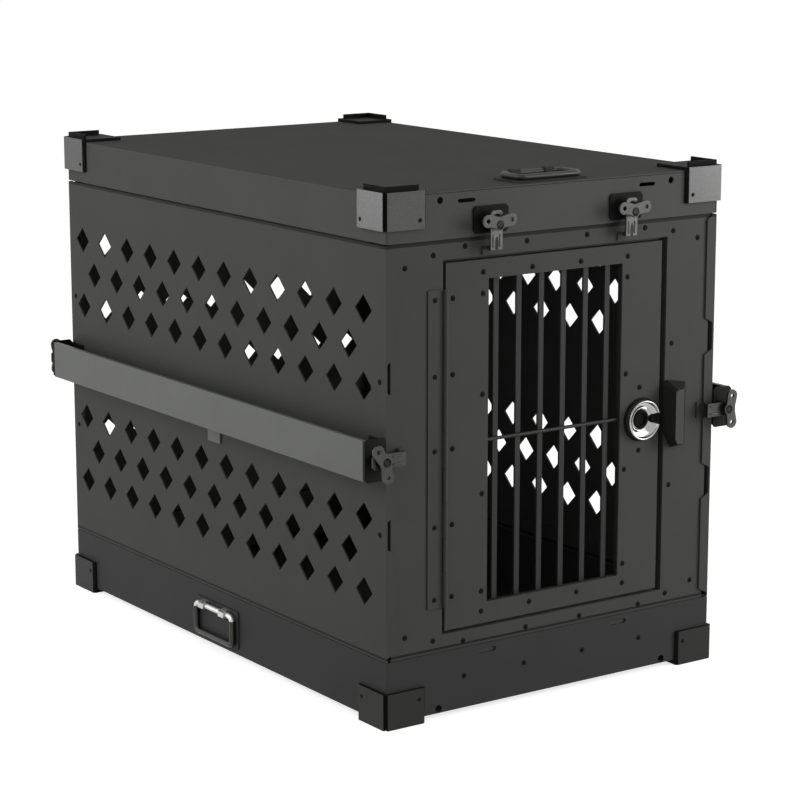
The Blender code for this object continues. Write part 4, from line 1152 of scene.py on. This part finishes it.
@dataclass
class Door:
    """Door skin with its window grille, hinge leaf, rivets and slam lock.

    The lock's profiles are radius and height over the door's face, and a rolled rim is given by the
    radius and height of its middle and by its own radius. The notch's angles are degrees.
    """

    shop: Workshop
    face: float = 0.37445
    lock: tuple[float, float] = (0.1324, 0.321)
    bar_edge: float = 0.0006
    ring_foot: Pairs = ((0.0114, 0.0004), (0.0250, 0.0004), (0.0250, 0.0020))
    ring_rim: Point = (0.0232, 0.0075, 0.0012)
    ring_cone: Pairs = (
        (0.0206, 0.0056),
        (0.0200, 0.0056),
        (0.0150, 0.0022),
        (0.0144, 0.0024),
        (0.0120, 0.0014),
    )
    notch: float = 15.0
    notch_slope: float = 2.0
    notch_floor: float = 0.2
    # a black ring that is a gasket and also painted shadow round the lock ring
    gasket_and_shadow: Pairs = (
        (0.0200, 0.0002),
        (0.0270, 0.0002),
        (0.0270, 0.0009),
        (0.0262, 0.0014),
        (0.0200, 0.0014),
        (0.0200, 0.0002),
    )
    block: tuple[Point, Point] = ((0.0138, 0.0004, -0.0052), (0.0242, 0.0034, 0.0052))
    pull_foot: Pairs = ((0.0, -0.0085), (0.0106, -0.0085))
    pull_rim: Point = (0.0092, -0.0002, 0.0014)
    pull_floor: Pairs = ((0.0072, -0.0015), (0.0, -0.0020))
    hinge_rivets: Pairs = tuple((-0.1503, level) for level in HINGE_LEVELS)
    window_sides: Pairs = tuple((0.1075, z) for z in (0.1196, 0.144, 0.262, 0.380, 0.498, 0.523))
    window_ends: Pairs = ((0.036, 0.523), (0.036, 0.1195))
    screws: Pairs = ((0.1295, 0.361), (0.1295, 0.283))

    def outward(self) -> np.ndarray:
        """Matrix of the lock's face: Z out of the door, Y up."""
        return frame_at((self.lock[0], -self.face, self.lock[1]), (0, -1, 0), (0, 0, 1))

    def ring(self) -> Surface:
        """Dished ring: a foot, an outer wall, a rolled rim and a cone that falls to the bore.

        Where the angle from local X is small, its height drops to a fifth, which leaves the notch.

        Returns:
            The ring, on its local origin.
        """
        start = self.ring_foot[:1]
        rim = rolled_rim(*self.ring_rim, steps=9)
        profile = np.concatenate([self.ring_foot, rim, self.ring_cone, start])
        made = revolve(profile, steps=96)
        x, y, z = made.points.T
        angle = np.abs(np.degrees(np.arctan2(y, x)))
        kept = np.clip((angle - self.notch) / self.notch_slope, self.notch_floor, 1)
        made.points[:, 2] = np.where(z > start[0][1] + WELD_DISTANCE, z * kept, z)
        return made

    def trim(self) -> Surface:
        """Black ring round the lock ring, a gasket that also paints the shadow round its edge, and
        the block in its notch, with its Y and Z swapped.
        """
        block = box_between(*self.block).at(np.eye(4)[[0, 2, 1, 3]])
        return revolve(np.array(self.gasket_and_shadow), steps=72).join(block)

    def pull(self) -> Surface:
        """Finger pull: a cup with a rolled rim, its floor sunk below the rim."""
        rim = rolled_rim(*self.pull_rim, steps=7)
        return revolve(np.concatenate([self.pull_foot, rim, self.pull_floor]), steps=48)

    def build(self) -> None:
        """Dress the door."""
        self.shop.paint("door_skin", PANEL)
        self.shop.paint("door_hinge_door_leaf", PANEL)
        self.shop.soften("door_grille", GRILLE, Slot.GRILLE, self.bar_edge)
        self.shop.paint("lock_housing", BLACK)
        self.shop.paint("latch_bolt", ZINC)
        ring = self.ring().at(self.outward()).build("lock_ring", CHROME, "door", Slot.CHROME)
        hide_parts("lock_bezel")
        # the black ring round the lock is a gasket together with painted shadow
        self.trim().at(self.outward()).build("lock_trim", MATT_BLACK, "door", Slot.PLASTIC)
        pull = self.pull().at(self.outward()).build("lock_pull", MATT_BLACK, "pull", Slot.PLASTIC)
        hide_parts("finger_pull")
        spots = mirrored(self.window_sides + self.window_ends) + self.hinge_rivets + self.screws
        Fasteners("door_rivets", "door").add(spots, -self.face, Axis.Y).build()


@dataclass
class Latches:
    """The eight butterfly latches, each a wing on a hub that draws a hook.

    The spindle cap's profile is radius and depth under the top of the wing.
    """

    shop: Workshop
    lid_x: float = 0.100
    lid_level: float = 0.579
    corner_x: float = 0.2564
    corner_level: float = 0.32220
    plane: float = 0.37675
    hook_top: float = 0.0128
    wing_top: float = 0.0193
    wing_edge: float = 0.0007
    hook_edge: float = 0.0005
    plate_edge: float = 0.0004
    spindle: Pairs = (
        (0.0, 0.0015),
        (0.0052, 0.0015),
        (0.0052, 0.0004),
        (0.0046, 0.0),
        (0.0034, 0.0),
        (0.0030, 0.0012),
        (0.0, 0.0012),
    )
    rib_offset: float = 0.0046
    rib_radius: float = 0.0013
    rib_start: float = -0.0270
    rib_length: float = 0.0160
    rib_sunk: float = 0.0001
    rib_steps: int = 13
    rib_faces: int = 8

    def frame(self, end: End, side: Side, kind: Kind) -> np.ndarray:
        """Local frame of a latch: Z out of the wall, Y away from the keeper.

        Args:
            end: The end that it is on.
            side: The side that it is near.
            kind: What it holds.

        Returns:
            The matrix, from local to world.
        """
        x, level, away = self.corner_x, self.corner_level, (side.value, 0, 0)
        if kind is Kind.LID:
            x, level, away = self.lid_x, self.lid_level, (0, 0, 1)
        return frame_at((side.value * x, end.value * self.plane, level), (0, end.value, 0), away)

    def cap(self) -> Surface:
        """Collar in the middle of the wing, with a sunk socket."""
        radius, depth = np.array(self.spindle).T
        return revolve(np.stack([radius, self.wing_top - depth], axis=-1), steps=20)

    def ribs(self) -> Surface:
        """Two pressed ribs along the hook's strap: half-round, closed at both ends.

        At t along a rib, its radius is that of the middle times sqrt(1 - (2 t - 1) to the power 8).

        Returns:
            Both ribs, in the latch's local frame.
        """
        along = np.linspace(0, 1, self.rib_steps)
        swell = self.rib_radius * np.sqrt(np.clip(1 - (2 * along - 1) ** 8, 0, 1))
        y = self.rib_start + self.rib_length * along
        turn = np.linspace(0, math.pi, self.rib_faces + 1)[:, None]
        z = self.hook_top - self.rib_sunk + np.sin(turn) * swell
        made = Surface()
        for hand in (-1, 1):
            x = hand * self.rib_offset + np.cos(turn) * swell
            made = made.join(grid(np.stack([x, y + 0 * turn, z], axis=-1), along=True))
        return made

    def build(self) -> None:
        """Dress every latch."""
        for end in End:
            for side in Side:
                for kind in Kind:
                    place = f"{end.name}_{side.name}_{kind.value}".lower()
                    self.latch(place, self.frame(end, side, kind), kind)

    def latch(self, place: str, matrix: np.ndarray, kind: Kind) -> None:
        """Round one latch's pieces and add its spindle cap and ribs.

        Args:
            place: Start of the names of its nodes.
            matrix: Its local frame.
            kind: What it holds.
        """
        # corner latches take darker, painted-shade copies of the lid latches' steel
        wing, hook = WING_CORNER_SHADED, HOOK_CORNER_SHADED
        if kind is Kind.LID:
            wing, hook = WING_LID, HOOK_LID
        self.shop.soften(place + "_latch_wing", wing, Slot.LATCH, self.wing_edge, steps=3)
        self.shop.soften(place + "_latch_hook", hook, Slot.LATCH, self.hook_edge)
        if kind is Kind.LID:
            # the plate's near black includes painted shadow from the wing
            self.shop.soften(place + "_latch_plate", LATCH_PLATE_AND_SHADOW, Slot.LATCH, self.plate_edge)
        self.cap().at(matrix).build(place + "_spindle_cap", BLACK, place + "_wing", Slot.LATCH)
        self.ribs().at(matrix).build(place + "_hook_ribs", hook, place + "_hook", Slot.LATCH)


@dataclass
class Rails:
    """The two side rails and the brackets at their ends."""

    shop: Workshop
    bend: float = 0.0008
    bracket_edge: float = 0.0004

    def build(self) -> None:
        """Dress the rails."""
        for side in Side:
            self.shop.soften(side.name.lower() + "_rail", RAIL, Slot.RAIL, self.bend)
            for end in End:
                node = f"rail_bracket_{end.name}_{side.name}".lower()
                self.shop.soften(node, BRACKET, Slot.BRACKET, self.bracket_edge)


@dataclass
class DropHandles:
    """Three drop handles, each a plate with saddles and a bail of round bar."""

    shop: Workshop
    half_x: float = 0.245
    base_level: float = 0.0555
    lid_y: float = -0.32275
    lid_top: float = 0.620
    plate_edge: float = 0.0003
    saddle_foot: float = 0.0022
    lift: float = 0.0057
    rod: float = 0.0036
    half_length: float = 0.044
    drop: float = 0.037
    corner: float = 0.007

    def bail(self) -> Surface:
        """Round bar along a rounded rectangle that hangs from the local X axis."""
        path = rounded_path(self.half_length, -self.drop, 0, self.corner, steps=9)
        return tube(path + (0, 0, self.lift), self.rod, steps=20, normal=(0, 0, 1))

    def lugs(self, centres: np.ndarray, normals: np.ndarray) -> np.ndarray:
        """The faces of a base plate that stand out of it, as its saddles do."""
        return np.abs(centres[:, 0]) > self.half_x + self.saddle_foot

    def build(self) -> None:
        """Dress the handles."""
        lugs = (LUG, self.lugs)
        for side in Side:
            name = side.name.lower()
            place = (side.value * self.half_x, 0, self.base_level)
            matrix = frame_at(place, (side.value, 0, 0), (0, 0, 1))
            self.shop.soften(
                name + "_handle_plate", BASE, Slot.PLASTIC, self.plate_edge, second=lugs
            )
            self.hang(name, matrix, BAIL, name + "_base_bail")
        matrix = frame_at((0, self.lid_y, self.lid_top), (0, 0, 1), (0, 1, 0))
        # the lid's handle plate faces up, so it takes the lid top's painted-shade copy
        self.shop.soften("lid_handle_plate", LID_TOP_SHADED, Slot.PLASTIC, self.plate_edge)
        self.hang("lid", matrix, LID_BAIL, "lid_top_bail")

    def hang(self, name: str, matrix: np.ndarray, steel: Finish, body: str) -> None:
        """Make a handle's bail.

        Args:
            name: Start of its names.
            matrix: The handle's local frame.
            steel: Finish of the bar.
            body: The bail's CAD body.
        """
        bar = self.bail().at(matrix).build(name + "_bail_bar", steel, body, Slot.BAIL)
        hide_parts(name + "_bail")


# ---- camera, lamps and floor


def aimed(name: str, data: bpy.types.ID, place: Point, ahead: Vector) -> bpy.types.Object:
    """An object of the stage that looks along a direction, with its top up.

    Args:
        name: Its name.
        data: Its camera or lamp.
        place: Where it stands.
        ahead: The direction.

    Returns:
        The object, in the scene.
    """
    made = bpy.data.objects.new(name, data)
    made.location = place
    made.rotation_mode = "QUATERNION"
    made.rotation_quaternion = ahead.to_track_quat("-Z", "Y")
    bpy.context.scene.collection.objects.link(made)
    return made


@dataclass(frozen=True)
class Lamp:
    """A rectangular soft lamp: its place, the point that it faces, width and height, and watts."""

    name: str
    place: Point
    aim: Point
    size: tuple[float, float]
    power: float

    def build(self) -> None:
        """Hang the lamp, unseen by the camera."""
        data = bpy.data.lights.new(self.name, "AREA")
        data.shape, data.energy = "RECTANGLE", self.power
        data.size, data.size_y = self.size
        ahead = Vector(self.aim) - Vector(self.place)
        aimed(self.name, data, self.place, ahead).visible_camera = False


LAMPS = (
    Lamp("front card", (2.06, -1.76, 0.9), (0, -0.38, 0.35), (1.05, 1.4), 39),
    Lamp("left card", (-2.50, 2.06, 0.72), (-0.25, 0, 0.35), (1.3, 1.3), 17),
    Lamp("left top", (-1.6, -0.1, 1.3), (-0.25, 0, 0.45), (0.9, 0.9), 8),
    Lamp("front top", (1.1, -1.8, 1.3), (0.1, -0.38, 0.45), (0.9, 0.9), 5),
)


@dataclass
class Studio:
    """Camera at the photograph's angle, pale floor, soft lamps and a white surround."""

    camera_place: Point = (-1.83537, -2.68611, 0.97007)
    azimuth: float = -34.88
    elevation: float = 11.69
    lens: float = 114.57
    sensor: float = 36.0
    nearest: float = 0.1
    farthest: float = 100.0
    floor_size: float = 40.0
    floor_level: float = -0.0004
    floor_grey: float = 0.6
    floor_glow: float = 0.74
    ambient: float = 0.45

    def camera(self) -> None:
        """Place the camera by its azimuth and elevation."""
        turn, tilt = math.radians(self.azimuth), math.radians(self.elevation)
        flat = math.cos(tilt)
        back = Vector((math.sin(turn) * flat, -math.cos(turn) * flat, math.sin(tilt)))
        data = bpy.data.cameras.new("camera")
        data.lens, data.sensor_width = self.lens, self.sensor
        data.clip_start, data.clip_end = self.nearest, self.farthest
        bpy.context.scene.camera = aimed("camera", data, self.camera_place, -back)

    def shown(self, tree: bpy.types.NodeTree) -> Socket:
        """1 for camera, glossy and transmission rays, which see the white surround.

        Args:
            tree: The node tree that takes the nodes.

        Returns:
            The largest of the three ray flags.
        """
        rays = tree.nodes.new("ShaderNodeLightPath").outputs
        result = rays["Is Camera Ray"]
        for name in ("Is Glossy Ray", "Is Transmission Ray"):
            step = tree.nodes.new("ShaderNodeMath")
            step.operation = "MAXIMUM"
            tree.links.new(result, step.inputs[0])
            tree.links.new(rays[name], step.inputs[1])
            result = step.outputs[0]
        return result

    def world(self) -> None:
        """White where it is seen, and an even grey light elsewhere."""
        world = bpy.data.worlds.new("world")
        world.use_nodes = True
        tree = world.node_tree
        light = tree.nodes["Background"]
        strength = tree.nodes.new("ShaderNodeMapRange")
        tree.links.new(self.shown(tree), strength.inputs["Value"])
        strength.inputs["To Min"].default_value = self.ambient
        strength.inputs["To Max"].default_value = 1.0
        tree.links.new(strength.outputs[0], light.inputs["Strength"])
        light.inputs["Color"].default_value = (1, 1, 1, 1)
        bpy.context.scene.world = world

    def floor(self) -> None:
        """A pale floor that keeps a faint shadow and shows white elsewhere."""
        half = self.floor_size / 2
        corners = [(-half, -half), (half, -half), (half, half), (-half, half)]
        mesh = bpy.data.meshes.new("floor")
        mesh.from_pydata([(*c, self.floor_level) for c in corners], [], [(0, 1, 2, 3)])
        shader = Shader("floor_paint")
        matt = shader.add("ShaderNodeBsdfDiffuse", {"Color": (*[self.floor_grey] * 3, 1)})
        level = shader.maths("MULTIPLY", self.shown(shader.tree), self.floor_glow)
        glow = shader.add("ShaderNodeEmission", {"Color": (1, 1, 1, 1), "Strength": level})
        both = shader.add("ShaderNodeAddShader", {0: matt.outputs[0], 1: glow.outputs[0]})
        shader.tree.links.new(both.outputs[0], shader.output.inputs[0])
        mesh.materials.append(shader.material)
        made = bpy.data.objects.new("floor", mesh)
        bpy.context.scene.collection.objects.link(made)

    def build(self) -> None:
        """Set the stage."""
        bpy.context.scene.view_settings.view_transform = "Standard"
        self.camera()
        self.world()
        self.floor()
        for lamp in LAMPS:
            lamp.build()
        LOG.info("studio: camera, floor and %d lamps", len(LAMPS))


def main() -> None:
    """Load the frame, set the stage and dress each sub-assembly."""
    logging.basicConfig(level=logging.INFO, format="%(message)s")
    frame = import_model()
    shop = Workshop(frame["nodes"])
    Studio().build()
    for assembly in (Shell, CornerCaps, EndFrames, Door, Latches, Rails, DropHandles):
        LOG.info("-- %s", assembly.__name__)
        assembly(shop).build()


if __name__ == "__main__":
    main()
